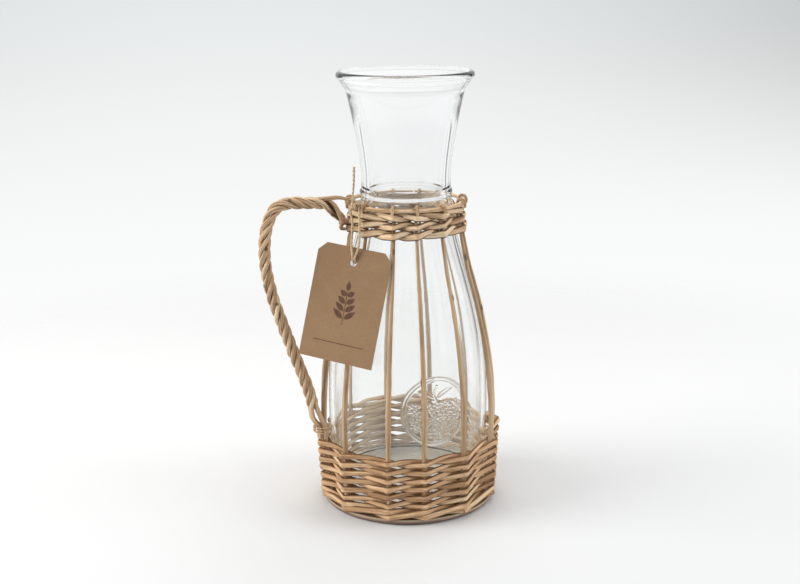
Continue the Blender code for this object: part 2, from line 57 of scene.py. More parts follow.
def outward(azimuth):
    return place(azimuth, 1.0, 0.0)


def sideways(azimuth):
    angle = math.radians(azimuth)
    return Vector((math.cos(angle), math.sin(angle), 0.0))


def ease(value, start, end):
    share = min(1.0, max(0.0, (value - start) / (end - start)))
    return share * share * (3 - 2 * share)


def levels(start, end, steps):
    return [start + (end - start) * step / steps for step in range(steps + 1)]


def link(thing):
    bpy.context.scene.collection.objects.link(thing)
    return thing


def finishedPiece(name, shape, *materials):
    mesh = bpy.data.meshes.new(name)
    shape.to_mesh(mesh)
    shape.free()
    for material in materials:
        mesh.materials.append(material)
    return link(bpy.data.objects.new(name, mesh))


def stands(piece, body, slot, *replaced):
    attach(piece, body)
    if replaced:
        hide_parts(*replaced)
    return piece


# Camera, first because the cords are judged from it
cameraSettings = {"lens": 58.6, "place": (-0.0043, -0.791, 0.337), "pitch": -14.4, "roll": -0.55}
cameraData = bpy.data.cameras.new("camera")
cameraData.lens = cameraSettings["lens"]
cameraData.sensor_width = 36.0
cameraData.clip_start = 0.01
camera = bpy.data.objects.new("camera", cameraData)
camera.location = cameraSettings["place"]
camera.rotation_euler = (Matrix.Rotation(math.radians(90 + cameraSettings["pitch"]), 3, "X")
                         @ Matrix.Rotation(math.radians(cameraSettings["roll"]), 3, "Z")).to_euler()
link(camera)
bpy.context.scene.camera = camera


# Shader maths: a signal is a socket that can be used in sums

class Signal:
    def __init__(self, tree, socket):
        self.tree = tree
        self.socket = socket

    def __add__(self, other): return reckon(self.tree, "ADD", self, other)
    def __radd__(self, other): return reckon(self.tree, "ADD", other, self)
    def __sub__(self, other): return reckon(self.tree, "SUBTRACT", self, other)
    def __rsub__(self, other): return reckon(self.tree, "SUBTRACT", other, self)
    def __mul__(self, other): return reckon(self.tree, "MULTIPLY", self, other)
    def __rmul__(self, other): return reckon(self.tree, "MULTIPLY", other, self)


def plug(tree, slot, value):
    if isinstance(value, Signal):
        tree.links.new(value.socket, slot)
    elif slot.type == "RGBA" and len(value) == 3:
        slot.default_value = (*value, 1.0)
    else:
        slot.default_value = value


def reckon(tree, operation, first, second=0.0):
    node = tree.nodes.new("ShaderNodeMath")
    node.operation = operation
    for slot, value in zip(node.inputs, (first, second)):
        plug(tree, slot, value)
    return Signal(tree, node.outputs[0])


class Finish:
    # A material, or the world, with its nodes
    def __init__(self, name, owner=None):
        self.material = owner or bpy.data.materials.new(name)
        self.material.use_nodes = True
        self.tree = self.material.node_tree
        self.shader = self.tree.nodes.get("Principled BSDF")

    def add(self, kind, settings=None, sockets=None, out=0):
        node = self.tree.nodes.new(kind)
        for key, value in (settings or {}).items():
            if key == "stops":
                ramp = node.color_ramp
                while len(ramp.elements) < len(value):
                    ramp.elements.new(0.5)
                for element, (position, color) in zip(ramp.elements, value):
                    element.position = position
                    element.color = (*color, 1.0)
            else:
                setattr(node, key, value)
        for key, value in (sockets or {}).items():
            plug(self.tree, node.inputs[key], value)
        return Signal(self.tree, node.outputs[out])

    def objectPlace(self, scale=(1, 1, 1)):
        spot = self.add("ShaderNodeTexCoord", out="Object")
        return self.add("ShaderNodeMapping", sockets={"Vector": spot, "Scale": scale})

    def alongPiece(self, scale):
        spot = self.add("ShaderNodeUVMap", {"uv_map": "grain"})
        return self.add("ShaderNodeMapping", sockets={"Vector": spot, "Scale": scale})

    def roundPiece(self, length, ring):
        # Along and round a rod without a seam, in turns of noise per metre and round the rod
        spot = self.add("ShaderNodeUVMap", {"uv_map": "grain"})
        turn = self.split(spot, 1) * math.tau
        across, up = (reckon(self.tree, wave, turn) * ring for wave in ("COSINE", "SINE"))
        return self.add("ShaderNodeCombineXYZ", sockets={"X": self.split(spot, 0) * length, "Y": across, "Z": up})

    def split(self, spot, axis):
        return self.add("ShaderNodeSeparateXYZ", sockets={"Vector": spot}, out=axis)

    def distance(self, spot):
        return self.add("ShaderNodeVectorMath", {"operation": "LENGTH"}, {0: spot}, out="Value")

    def mark(self, name):
        return self.add("ShaderNodeAttribute", {"attribute_name": name}, out="Fac")

    def clouds(self, spot, scale, detail=2.0, roughness=0.5):
        return self.add("ShaderNodeTexNoise", sockets={"Vector": spot, "Scale": scale, "Detail": detail,
                                                       "Roughness": roughness})

    def ramp(self, value, stops):
        return self.add("ShaderNodeValToRGB", {"stops": stops}, {"Fac": value})

    def mask(self, value, low, high):
        return self.add("ShaderNodeMapRange", {"interpolation_type": "SMOOTHSTEP"},
                        {"Value": value, "From Min": low, "From Max": high})

    def blendColors(self, share, first, second):
        return self.add("ShaderNodeMix", {"data_type": "RGBA"}, {0: share, 6: first, 7: second}, out=2)

    def relief(self, height, strength, distance):
        self.use(Normal=self.add("ShaderNodeBump", sockets={"Height": height, "Strength": strength,
                                                            "Distance": distance}))

    def use(self, **sockets):
        for key, value in sockets.items():
            plug(self.tree, self.shader.inputs[key.replace("_", " ")], value)

    def giveWay(self, share, other):
        # The other shader takes over where share is 1
        own = Signal(self.tree, self.shader.outputs[0])
        mixed = self.add("ShaderNodeMixShader", sockets={0: share, 1: own, 2: other})
        self.tree.links.new(mixed.socket, self.tree.nodes["Material Output"].inputs["Surface"])


def willowFinish(name, tone):
    # Peeled willow: a shade that drifts from rod to rod, streaks along it, bud scars, painted shade in the crevices
    # where rods touch and painted light on faces towards the glass
    finish = Finish(name)
    drift = finish.clouds(finish.roundPiece(9.0, 0.0), 1.0)
    streaks = finish.clouds(finish.roundPiece(tone["streakLength"], tone["streakRing"]), 1.0, 4.0, 0.7)
    fibres = finish.clouds(finish.roundPiece(tone["fibreLength"], 3.4), 1.0, 3.0, 0.65)
    crevice = finish.mark("crevice") + 0.35 * (streaks - 0.5)
    color = finish.ramp(0.5 + (drift - 0.5) * 0.72 + (streaks - 0.5) * 0.62, tone["stops"])
    # Painted shade: the 'deep' colour darkens the rods along the crevice mark, where they touch
    for shade, value, low, high, most in (("line", fibres, 0.50, 0.70, 0.42), ("pale", 1 - fibres, 0.54, 0.74, 0.30),
                                          ("deep", crevice, tone["shadeFrom"], tone["shadeTo"], tone["paintedShade"]),
                                          ("scar", finish.mark("scar"), 0.25, 0.8, 0.8),
                                          ("inside", finish.mark("inward"), 0.05, 0.55, 0.8)):
        color = finish.blendColors(finish.mask(value, low, high) * most, color, tone[shade])
    finish.use(Base_Color=color, Roughness=0.50 + 0.25 * fibres, Specular_IOR_Level=0.38)
    finish.relief(streaks * 0.5 + fibres * 0.5, 0.6, 0.00022)
    return finish.material


# Wood tones: the ramp stops and fibre colours are the willow's own; 'deep' is painted shade for the crevices and
# 'inside' is painted light for faces towards the glass
woodTones = {
    "stake": {"stops": [(0.40, (0.30, 0.185, 0.095)), (0.47, (0.43, 0.28, 0.158)), (0.54, (0.54, 0.365, 0.218)),
                        (0.61, (0.69, 0.505, 0.325))],
              "line": (0.24, 0.145, 0.075), "pale": (0.80, 0.64, 0.45), "deep": (0.20, 0.11, 0.055),
              "inside": (0.62, 0.48, 0.34), "scar": (0.085, 0.045, 0.025), "paintedShade": 0.35, "shadeFrom": 0.30, "shadeTo": 0.92,
              "streakLength": 42.0, "streakRing": 1.1, "fibreLength": 120.0},
    "weave": {"stops": [(0.40, (0.31, 0.175, 0.084)), (0.47, (0.505, 0.300, 0.156)), (0.54, (0.64, 0.405, 0.226)),
                        (0.61, (0.83, 0.605, 0.372))],
              "line": (0.21, 0.105, 0.048), "pale": (0.90, 0.71, 0.50), "deep": (0.10, 0.042, 0.017),
              "inside": (0.90, 0.70, 0.49), "scar": (0.09, 0.045, 0.022), "paintedShade": 0.96, "shadeFrom": 0.12, "shadeTo": 0.88,
              "streakLength": 50.0, "streakRing": 1.2, "fibreLength": 150.0},
    "handle": {"stops": [(0.40, (0.36, 0.235, 0.13)), (0.47, (0.53, 0.355, 0.21)), (0.54, (0.67, 0.465, 0.295)),
                         (0.61, (0.82, 0.64, 0.43))],
               "line": (0.20, 0.115, 0.056), "pale": (0.80, 0.62, 0.42), "deep": (0.11, 0.052, 0.024),
               "inside": (0.56, 0.38, 0.23), "scar": (0.085, 0.042, 0.022), "paintedShade": 0.97, "shadeFrom": 0.20,
               "shadeTo": 0.88, "streakLength": 40.0, "streakRing": 1.8, "fibreLength": 150.0},
    "collar": {"stops": [(0.38, (0.34, 0.20, 0.105)), (0.46, (0.60, 0.39, 0.225)), (0.54, (0.78, 0.56, 0.35)),
                         (0.62, (0.95, 0.76, 0.53))],
               "line": (0.19, 0.095, 0.043), "pale": (0.97, 0.82, 0.62), "deep": (0.075, 0.032, 0.013),
               "inside": (0.60, 0.45, 0.31), "scar": (0.09, 0.045, 0.022), "paintedShade": 0.97, "shadeFrom": 0.05, "shadeTo": 0.66,
               "streakLength": 60.0, "streakRing": 1.3, "fibreLength": 170.0},
}
willow = {name: willowFinish(name + "_willow", tone) for name, tone in woodTones.items()}


def mottledFinish(name, scale, detail, roughness, stops):
    finish = Finish(name)
    spots = finish.clouds(finish.objectPlace(), scale, detail, roughness)
    finish.use(Base_Color=finish.ramp(spots, stops), Roughness=0.6 + 0.2 * spots)
    return finish.material


cutWillow = mottledFinish("cut_willow", 900.0, 2.0, 0.5,
                          [(0.35, (0.40, 0.27, 0.15)), (0.65, (0.66, 0.50, 0.32))])


def caneFinish():
    finish = Finish("split_cane")
    streaks = finish.clouds(finish.alongPiece((90.0, 6.0, 1.0)), 1.0, 3.0)
    finish.use(Base_Color=finish.ramp(streaks, [(0.3, (0.42, 0.27, 0.13)), (0.7, (0.70, 0.52, 0.31))]),
               Roughness=0.34 + 0.2 * streaks)
    finish.relief(streaks, 0.4, 0.0001)
    return finish.material


def plywoodFinish():
    # Grain lines on the faces; on the edge one pale ply above brown ones darkened as painted shade, and on the top a
    # pale face under the glass with a painted-shade ring beyond it under the weave
    finish = Finish("pale_plywood")
    spot = finish.objectPlace()
    height = finish.split(spot, 2)
    level = finish.add("ShaderNodeVectorMath", {"operation": "MULTIPLY"}, {0: spot, 1: (1.0, 1.0, 0.0)})
    plies = finish.clouds(finish.objectPlace((3.0, 3.0, 900.0)), 1.0, 1.0)
    grain = finish.clouds(finish.objectPlace((14.0, 260.0, 14.0)), 1.0, 3.0, 0.6)
    face = finish.ramp(grain, [(0.3, (0.78, 0.74, 0.66)), (0.7, (0.89, 0.86, 0.79))])
    # Painted shade: the brown plies of the edge are dark for the shade under the weave's overhang
    edge = finish.ramp(plies, [(0.4, (0.19, 0.125, 0.10)), (0.6, (0.31, 0.21, 0.165))])
    pale = finish.ramp(plies, [(0.4, (0.40, 0.31, 0.20)), (0.6, (0.52, 0.42, 0.28))])
    edge = finish.blendColors(finish.mask(height, 0.0027, 0.0031), edge, pale)
    # Painted shade: the top beyond the glass's foot is dark, for the shade under the weave
    shadedRing = finish.ramp(grain, [(0.3, (0.12, 0.075, 0.045)), (0.7, (0.22, 0.145, 0.09))])
    top = finish.blendColors(finish.mask(finish.distance(level), 0.0445, 0.0465), face, shadedRing)
    onTop = finish.mask(height, 0.0036, 0.0039)
    finish.use(Base_Color=finish.blendColors(onTop, edge, top), Roughness=0.6 + 0.2 * grain)
    finish.relief(grain * 0.6 + plies * 0.4, 0.3, 0.0001)
    return finish.material


def cardFinish():
    # Kraft card: soft clouds, flecks and short fibres
    finish = Finish("brown_card")
    spot = finish.objectPlace()
    clouds = finish.clouds(spot, 90.0, 4.0, 0.6)
    fibres = finish.clouds(finish.objectPlace((900.0, 260.0, 260.0)), 1.0, 2.0, 0.7)
    crossed = finish.clouds(finish.objectPlace((240.0, 300.0, 1000.0)), 1.0, 2.0, 0.7)
    flecks = finish.add("ShaderNodeTexVoronoi", {"feature": "F1"}, {"Vector": spot, "Scale": 420.0})
    fleckMask = 1 - finish.mask(flecks, 0.10, 0.2)
    depth = clouds * 0.4 + fibres * 0.3 + crossed * 0.3
    paper = finish.ramp(depth, [(0.30, (0.285, 0.175, 0.096)), (0.70, (0.350, 0.222, 0.128))])
    finish.use(Base_Color=finish.blendColors(fleckMask * 0.3, paper, (0.19, 0.11, 0.055)),
               Roughness=0.78 + 0.12 * fibres, Specular_IOR_Level=0.3)
    finish.relief(fibres * 0.5 + crossed * 0.5, 0.35, 0.00006)
    return finish.material


def juteFinish():
    # Twisted jute: pale fibres that run round the plies
    finish = Finish("jute_twine")
    fibres = finish.clouds(finish.alongPiece((900.0, 14.0, 1.0)), 1.0, 3.0, 0.7)
    patches = finish.clouds(finish.objectPlace(), 220.0)
    stops = [(0.3, (0.36, 0.23, 0.12)), (0.5, (0.60, 0.44, 0.27)), (0.7, (0.78, 0.63, 0.43))]
    finish.use(Base_Color=finish.ramp(fibres * 0.6 + patches * 0.4, stops), Roughness=0.8 + 0.1 * fibres,
               Sheen_Weight=0.25)
    finish.relief(fibres, 0.7, 0.00012)
    return finish.material


glassTones = {
    "clear_glass": {"grain": 18.0, "stops": [(0.3, (0.966, 0.979, 0.977)), (0.7, (0.984, 0.992, 0.990))],
                    "rough": 0.0, "clear": 1.0},
    "stippled_glass": {"grain": 1400.0, "stops": [(0.3, (0.92, 0.90, 0.82)), (0.7, (0.97, 0.95, 0.88))],
                       "rough": 0.30, "clear": 0.1},
}


def glassFinish(name):
    # Pressed soda glass, clear with a faint wave or roughened; the lamps' light passes straight through it
    tone = glassTones[name]
    finish = Finish(name)
    haze = finish.clouds(finish.objectPlace(), tone["grain"])
    finish.use(Base_Color=finish.ramp(haze, tone["stops"]), Transmission_Weight=tone["clear"], IOR=1.5,
               Roughness=tone["rough"] + 0.1 * haze if tone["rough"] else 0.0)
    if not tone["rough"]:
        finish.relief(finish.clouds(finish.objectPlace((1.0, 1.0, 0.45)), 55.0, 1.5, 0.4), 0.10, 0.0006)
    passed = finish.add("ShaderNodeBsdfTransparent", sockets={"Color": (0.985, 0.987, 0.985)})
    finish.giveWay(finish.add("ShaderNodeLightPath", out="Is Shadow Ray"), passed)
    return finish.material


splitCane = caneFinish()
palePlywood = plywoodFinish()
brownCard = cardFinish()
brownInk = mottledFinish("brown_ink", 700.0, 3.0, 0.7,
                         [(0.3, (0.072, 0.032, 0.018)), (0.75, (0.155, 0.080, 0.048))])
juteTwine = juteFinish()
clearGlass = glassFinish("clear_glass")
stippledGlass = glassFinish("stippled_glass")
print("finishes ready")


# Rods and twine: a section carried along a route

def smoothRoute(points, steps):
    points = [Vector(point) for point in points]
    padded = [2 * points[0] - points[1]] + points + [2 * points[-1] - points[-2]]
    route = []
    for index in range(1, len(padded) - 2):
        before, start, end, after = padded[index - 1:index + 3]
        for step in range(steps):
            t = step / steps
            route.append(0.5 * (2 * start + (end - before) * t
                                + (2 * before - 5 * start + 4 * end - after) * t ** 2
                                + (3 * start - before - 3 * end + after) * t ** 3))
    return route + [points[-1]]


def smoothValues(values, steps):
    spread = []
    for start, end in zip(values, values[1:]):
        spread += [start + (end - start) * step / steps for step in range(steps)]
    return spread + [values[-1]]


def routeLength(route):
    return sum((end - start).length for start, end in zip(route, route[1:]))


def polyCurve(name, dimensions, outlines, closed=True):
    curve = bpy.data.curves.new(name, "CURVE")
    curve.dimensions = dimensions
    for outline in outlines:
        spline = curve.splines.new("POLY")
        spline.points.add(len(outline) - 1)
        for spot, (x, y, *up) in zip(spline.points, outline):
            spot.co = (x, y, *(up or [0]), 1)
        spline.use_cyclic_u = closed
    return curve


def builtShape(name, curve):
    # The curve's mesh, its doubles merged and its faces outwards
    builder = link(bpy.data.objects.new(name + "_builder", curve))
    mesh = bpy.data.meshes.new_from_object(builder.evaluated_get(bpy.context.evaluated_depsgraph_get()))
    bpy.data.objects.remove(builder)
    bpy.data.curves.remove(curve)
    for layer in mesh.uv_layers:
        layer.name = "grain"
    shape = bmesh.new()
    shape.from_mesh(mesh)
    bpy.data.meshes.remove(mesh)
    bmesh.ops.remove_doubles(shape, verts=shape.verts[:], dist=0.000002)
    bmesh.ops.recalc_face_normals(shape, faces=shape.faces[:])
    return shape


def roundSection(name, flat=1.0, points=12, lobes=0, depth=0.0):
    # Closed outline for a rod of radius 1; lobes are the plies of a twine
    outline = []
    for index in range(points):
        angle = math.tau * index / points
        reach = 1 - depth * (1 - abs(math.cos(lobes * angle / 2)))
        outline.append((reach * math.cos(angle), reach * flat * math.sin(angle)))
    return link(bpy.data.objects.new(name, polyCurve(name, "2D", [outline])))


rodSection = roundSection("rod_section")
strokeSection = roundSection("stroke_section", 1.46, 14)
collarSection = roundSection("collar_section", 1.95, 14)
twineSection = roundSection("twine_section", points=24, lobes=3, depth=0.17)
caneSection = roundSection("cane_section", 0.45)
sections = (rodSection, strokeSection, collarSection, twineSection, caneSection)
buds = {"least": 0.020, "most": 0.042, "long": 0.0017, "wide": 0.16, "proud": 0.00026}
# Split groove of each handle strand: its depth, and 'dark', the painted shade laid along it
groove = {"sharp": 12, "dark": 0.64, "deep": 0.00020, "foot": 0.40, "top": 0.93}
lumpsPerMetre = 120


def budPlaces(length, spacing):
    places, reached, side = [], chance.uniform(0.2, 1.0) * buds["least"], chance.uniform(0, 1)
    while reached < length:
        places.append((reached, side % 1))
        reached += chance.uniform(buds["least"], buds["most"]) * spacing
        side += 0.5 + chance.uniform(-0.12, 0.12)
    return places


def layRod(name, route, radii, finish, section=None, turnsPerMetre=0.0, lump=0.0, budSpacing=0.0, core=None):
    # The mesh of a rod or twine along a route, with its ends cut square; core is what it is laid round
    flattened = section in (strokeSection, collarSection)
    curve = polyCurve(name, "3D", [route], closed=False)
    curve.twist_mode = "Z_UP" if flattened else "MINIMUM"
    curve.bevel_mode = "OBJECT"
    curve.bevel_object = section or rodSection
    curve.use_fill_caps = True
    curve.splines[0].use_smooth = True
    seed = Vector((chance.uniform(0, 90), chance.uniform(0, 90), 0))
    done = 0.0
    for index, spot in enumerate(curve.splines[0].points):
        if index:
            done += (route[index] - route[index - 1]).length
        swell = 1 + lump * noise.noise(seed + Vector((done * lumpsPerMetre, 0, 0)))
        spot.radius = (radii[index] if isinstance(radii, list) else radii) * swell
        spot.tilt = math.tau * turnsPerMetre * done
    shape = builtShape(name, curve)
    grain = shape.loops.layers.uv[0]
    # Marks for the shader: bud scars, painted shade in crevices, and how far a face turns towards the glass, for
    # painted light
    scar, crevice, inward = (shape.verts.layers.float.new(mark) for mark in ("scar", "crevice", "inward"))
    places = budPlaces(done, budSpacing) if budSpacing else []
    for vert in shape.verts:
        sides = [loop for loop in vert.link_loops if len(loop.face.verts) == 4]
        if not sides:
            continue
        along, around = sides[0][grain].uv
        # Painted light: faces turned towards the glass take the paler 'inside' colour
        vert[inward] = -vert.normal.to_2d().dot(vert.co.to_2d().normalized())
        if flattened:
            # Painted shade along the top and bottom of a flattened stroke, where it touches the rows above and below
            vert[crevice] = abs(math.sin(math.tau * around)) ** 3
        elif core:
            # Painted shade where a strand tucks in against the others, and along its split groove
            axis, outside = core[min(len(core) - 1, round(along * (len(core) - 1)))]
            hidden = 1 - ease((vert.co - axis).length, groove["foot"] * outside, groove["top"] * outside)
            split = abs(math.cos(math.tau * around)) ** groove["sharp"]  # each strand is a rod split along its length
            vert[crevice] = max(hidden, groove["dark"] * split)
            vert.co -= vert.normal * groove["deep"] * split
        for reached, side in places:
            away = (along * done - reached) / buds["long"]
            beside = ((around - side + 0.5) % 1 - 0.5) / buds["wide"]
            height = 1 - away * away - beside * beside
            if height > 0:
                vert[scar] = max(vert[scar], height)
                vert.co += vert.normal * height * buds["proud"]
    offset = chance.uniform(0, 40)
    for face in shape.faces:
        face.smooth = len(face.verts) == 4
        face.material_index = 0 if len(face.verts) == 4 or section in (twineSection, caneSection) else 1
        for loop in face.loops:
            along, around = loop[grain].uv
            loop[grain].uv = (along * done + offset, around)
    for edge in shape.edges:
        if len(edge.link_faces) == 2 and edge.calc_face_angle() > 1.0:
            edge.smooth = False
    return finishedPiece(name, shape, finish, cutWillow)


def layWillow(name, route, radii, tone, **settings):
    piece = layRod("willow_" + name, route, radii, willow[tone], **settings)
    stands(piece, "carafe", "peeled_willow", name)


# Glass outline, heights counted from its own foot
glass = {
    "foot": 0.0043, "height": 0.2672, "heelRadius": 0.0478, "heelRound": 0.0045, "bellyRadius": 0.0504,
    "bellyHeight": 0.058, "neckRadius": 0.0274, "neckHeight": 0.201, "shoulderCurve": 1.23,
    "mouthRadius": 0.0362, "mouthHeight": 0.2560, "flareCurve": 1.5, "lipRadius": 0.0420, "lipBead": 0.0024,
    "ringHeight": 0.194, "ringProud": 0.0010, "ringHalfWidth": 0.0030, "wall": 0.0034, "neckWall": 0.0048,
    "thickFrom": (0.12, 0.19), "thinFrom": 0.235, "floor": 0.012, "floorRound": 0.0040, "punt": 0.0015,
    "footRing": 0.006, "footStep": 0.003, "pole": 0.0001, "stippleTop": 0.0016,
}


def glassRadius(height):
    g = glass
    if height <= g["bellyHeight"]:
        share = max(0.0, (height - g["heelRound"]) / (g["bellyHeight"] - g["heelRound"]))
        return g["heelRadius"] + (g["bellyRadius"] - g["heelRadius"]) * math.sin(math.pi / 2 * share)
    if height <= g["neckHeight"]:
        share = ((height - g["bellyHeight"]) / (g["neckHeight"] - g["bellyHeight"])) ** g["shoulderCurve"]
        return g["neckRadius"] + (g["bellyRadius"] - g["neckRadius"]) * (1 + math.cos(math.pi * share)) / 2
    share = (height - g["neckHeight"]) / (g["mouthHeight"] - g["neckHeight"])
    return g["neckRadius"] + (g["mouthRadius"] - g["neckRadius"]) * share ** g["flareCurve"]


def neckRing(height):
    offset = abs(height - glass["ringHeight"]) / glass["ringHalfWidth"]
    return glass["ringProud"] * (1 + math.cos(math.pi * offset)) / 2 if offset < 1 else 0.0


# Jacket of rods round the glass
jacket = {
    "gap": 0.0003, "baseThickness": 0.004, "baseEase": 0.0008, "holeDepth": 0.003,
    "stakeAzimuths": (-164, -131, -98, -74, -45, -13, 10, 38, 72, 97, 130, 163),
    "stakeRadius": 0.00165, "collarStakeRadius": 0.00105, "tipRadius": 0.0009, "tipDrop": 0.0024, "sway": 0.0005,
    "waistEase": 0.0006, "waistHeight": 0.115, "rows": 6, "rodRadius": 0.00116, "rodSwell": 1.18,
    "rodSqueeze": 0.95, "basketEase": 0.0004, "cornerEase": 0.0003, "collarRows": 3, "collarBottom": 0.1744,
    "collarRodRadius": 0.0011, "collarSwell": 1.15, "collarSqueeze": 0.76, "collarEase": 0.0004,
    "borderRadius": 0.0012, "borderEase": 0.0006, "borderSeam": 0.0012, "topRowRods": ((8, 6), (9, 4)),
}
gap = jacket["gap"]
rodRadius = jacket["rodRadius"]
collarRodRadius = jacket["collarRodRadius"]
basketStandoff = jacket["stakeRadius"] + 2 * gap + 2 * rodRadius * jacket["rodSqueeze"] + jacket["basketEase"]
collarStandoff = (jacket["collarStakeRadius"] + 2 * gap + 2 * collarRodRadius * jacket["collarSqueeze"]
                  + jacket["collarEase"])
waistStandoff = jacket["stakeRadius"] + gap + jacket["waistEase"]
crossing = rodRadius + 0.9 * gap
rowPitch = 2 * crossing + 2 * rodRadius + gap
waleCrossing = crossing + gap
waleHeight = jacket["baseThickness"] + gap + waleCrossing + rodRadius * jacket["rodSwell"]
firstRow = waleHeight + rowPitch + waleCrossing - crossing
basketTop = firstRow + (jacket["rows"] - 1) * rowPitch + crossing + rodRadius
collarCrossing = collarRodRadius + 0.9 * gap
collarPitch = 2 * collarCrossing + 2 * collarRodRadius + gap
firstCollarRow = jacket["collarBottom"] + collarCrossing + collarRodRadius
lastCollarRow = firstCollarRow + (jacket["collarRows"] - 1) * collarPitch
borderHeight = lastCollarRow + collarCrossing + collarRodRadius + gap + jacket["borderRadius"] + jacket["borderEase"]


def stakeThickness(height):
    thin = ease(height, basketTop, jacket["collarBottom"])
    return jacket["stakeRadius"] + (jacket["collarStakeRadius"] - jacket["stakeRadius"]) * thin


def stakeLine(height):
    standoff = basketStandoff + (waistStandoff - basketStandoff) * ease(height, basketTop, jacket["waistHeight"])
    collarShare = ease(height, jacket["collarBottom"] - 0.02, jacket["collarBottom"])
    return glassRadius(height - glass["foot"]) + standoff + (collarStandoff - waistStandoff) * collarShare


borderLine = stakeLine(lastCollarRow) + jacket["collarStakeRadius"] + gap + jacket["borderRadius"]


def overBorder(azimuth, radius, turns, easeOut=1.0):
    reach = (jacket["borderRadius"] + gap + radius) * easeOut
    return [place(azimuth, borderLine + reach * math.cos(math.radians(turn)),
                  borderHeight + reach * math.sin(math.radians(turn))) for turn in turns]


# Tag twine first of the pieces: two limp strands from the collar knot through the card
twine = {
    "radius": 0.00062, "shown": 1.22, "frayed": 1.45, "turnsPerMetre": 120.0,
    "leftRoute": [(-0.033, -0.02295, 0.193), (-0.03354, -0.02328, 0.1903), (-0.03314, -0.02456, 0.18758),
                  (-0.0325, -0.02606, 0.18487), (-0.03243, -0.02687, 0.18216), (-0.03255, -0.02747, 0.17945),
                  (-0.03274, -0.02786, 0.17674), (-0.03289, -0.02825, 0.17403), (-0.03311, -0.02884, 0.17132),
                  (-0.03301, -0.02962, 0.16861), (-0.03273, -0.03037, 0.16589), (-0.03254, -0.03094, 0.16312),
                  (-0.03248, -0.02956, 0.16143)],
    "rightRoute": [(-0.02855, -0.0244, 0.193), (-0.02815, -0.02525, 0.19027), (-0.02808, -0.02631, 0.18755),
                   (-0.02805, -0.02746, 0.18484), (-0.02813, -0.02841, 0.18212), (-0.0282, -0.02935, 0.1794),
                   (-0.02822, -0.03029, 0.17668), (-0.0283, -0.03093, 0.17395), (-0.02855, -0.03126, 0.17121),
                   (-0.0292, -0.03139, 0.16848), (-0.03025, -0.03139, 0.16574), (-0.03125, -0.03145, 0.16298),
                   (-0.03105, -0.03013, 0.16125)],
    "knotRoute": [(-0.0309, -0.0228, 0.2168), (-0.0313, -0.0234, 0.2060), (-0.03222, -0.0242, 0.1966),
                  (-0.03241, -0.02481, 0.1936), (-0.03227, -0.02486, 0.19264), (-0.03193, -0.02439, 0.19187),
                  (-0.03148, -0.02359, 0.19158), (-0.03102, -0.02279, 0.19187), (-0.03069, -0.02232, 0.19264),
                  (-0.03054, -0.02237, 0.1936), (-0.03059, -0.02295, 0.19437), (-0.03075, -0.02385, 0.19466),
                  (-0.03092, -0.02476, 0.19437), (-0.03096, -0.02534, 0.1936), (-0.03082, -0.02539, 0.19264),
                  (-0.03048, -0.02492, 0.19187), (-0.03003, -0.02412, 0.19158), (-0.02957, -0.02332, 0.19187),
                  (-0.02924, -0.02285, 0.19264), (-0.02909, -0.0229, 0.1936), (-0.02914, -0.02348, 0.19437),
                  (-0.02931, -0.02438, 0.19466), (-0.02757, -0.02338, 0.19398), (-0.02666, -0.02261, 0.19429),
                  (-0.02576, -0.02184, 0.19398), (-0.02509, -0.02128, 0.19311), (-0.02486, -0.02108, 0.19171)],
    "stopKnot": (-0.03113, -0.0281, 0.16087), "stopKnotSize": 0.00072, "stopKnotFlat": 0.75, "stopKnotDeep": 0.9,
    "stopKnotTurn": 0.97,
}


def layTwine(name, route, radii, lump):
    return layRod(name, route, radii, juteTwine, twineSection, twine["turnsPerMetre"], lump)


def tagStrand(side):
    route = smoothRoute(twine[side + "Route"], 3)
    strand = layTwine("twine_" + side, route, twine["radius"] * twine["shown"], 0.1)
    stands(strand, "string", "jute_twine", "tag_string_" + side)
    return strand, route


strands = [tagStrand("left"), tagStrand("right")]
print("tag twine laid")


medallion = {
    "azimuth": 19.5, "height": 0.0668, "radius": 0.0212, "ringWidth": 0.00058, "ringProud": 0.00046,
    "beadPitch": 0.0019, "beadProud": 0.00046, "from": -6.0, "to": 45.0, "columns": 190, "otherColumns": 90,
    "fieldTop": 0.0060, "fieldReach": 0.83, "innerRing": 0.91, "leafPlace": (0.0060, 0.0110),
    "leafTurn": (0.90, 0.44), "leafLength": 0.0056, "leafWidth": 0.0026, "stemHalfWidth": 0.0006,
    "stemFrom": 0.005, "stemTo": 0.0165, "stemSway": 0.0012, "swayPerMetre": 420, "veinHalfWidth": 0.00045,
    "bandFoot": 0.044, "bandTop": 0.0895,
}


def arc(middle, up, radius, start, end, steps):
    return [Vector((middle + radius * math.cos(turn), 0, up + radius * math.sin(turn)))
            for turn in levels(math.radians(start), math.radians(end), steps)]


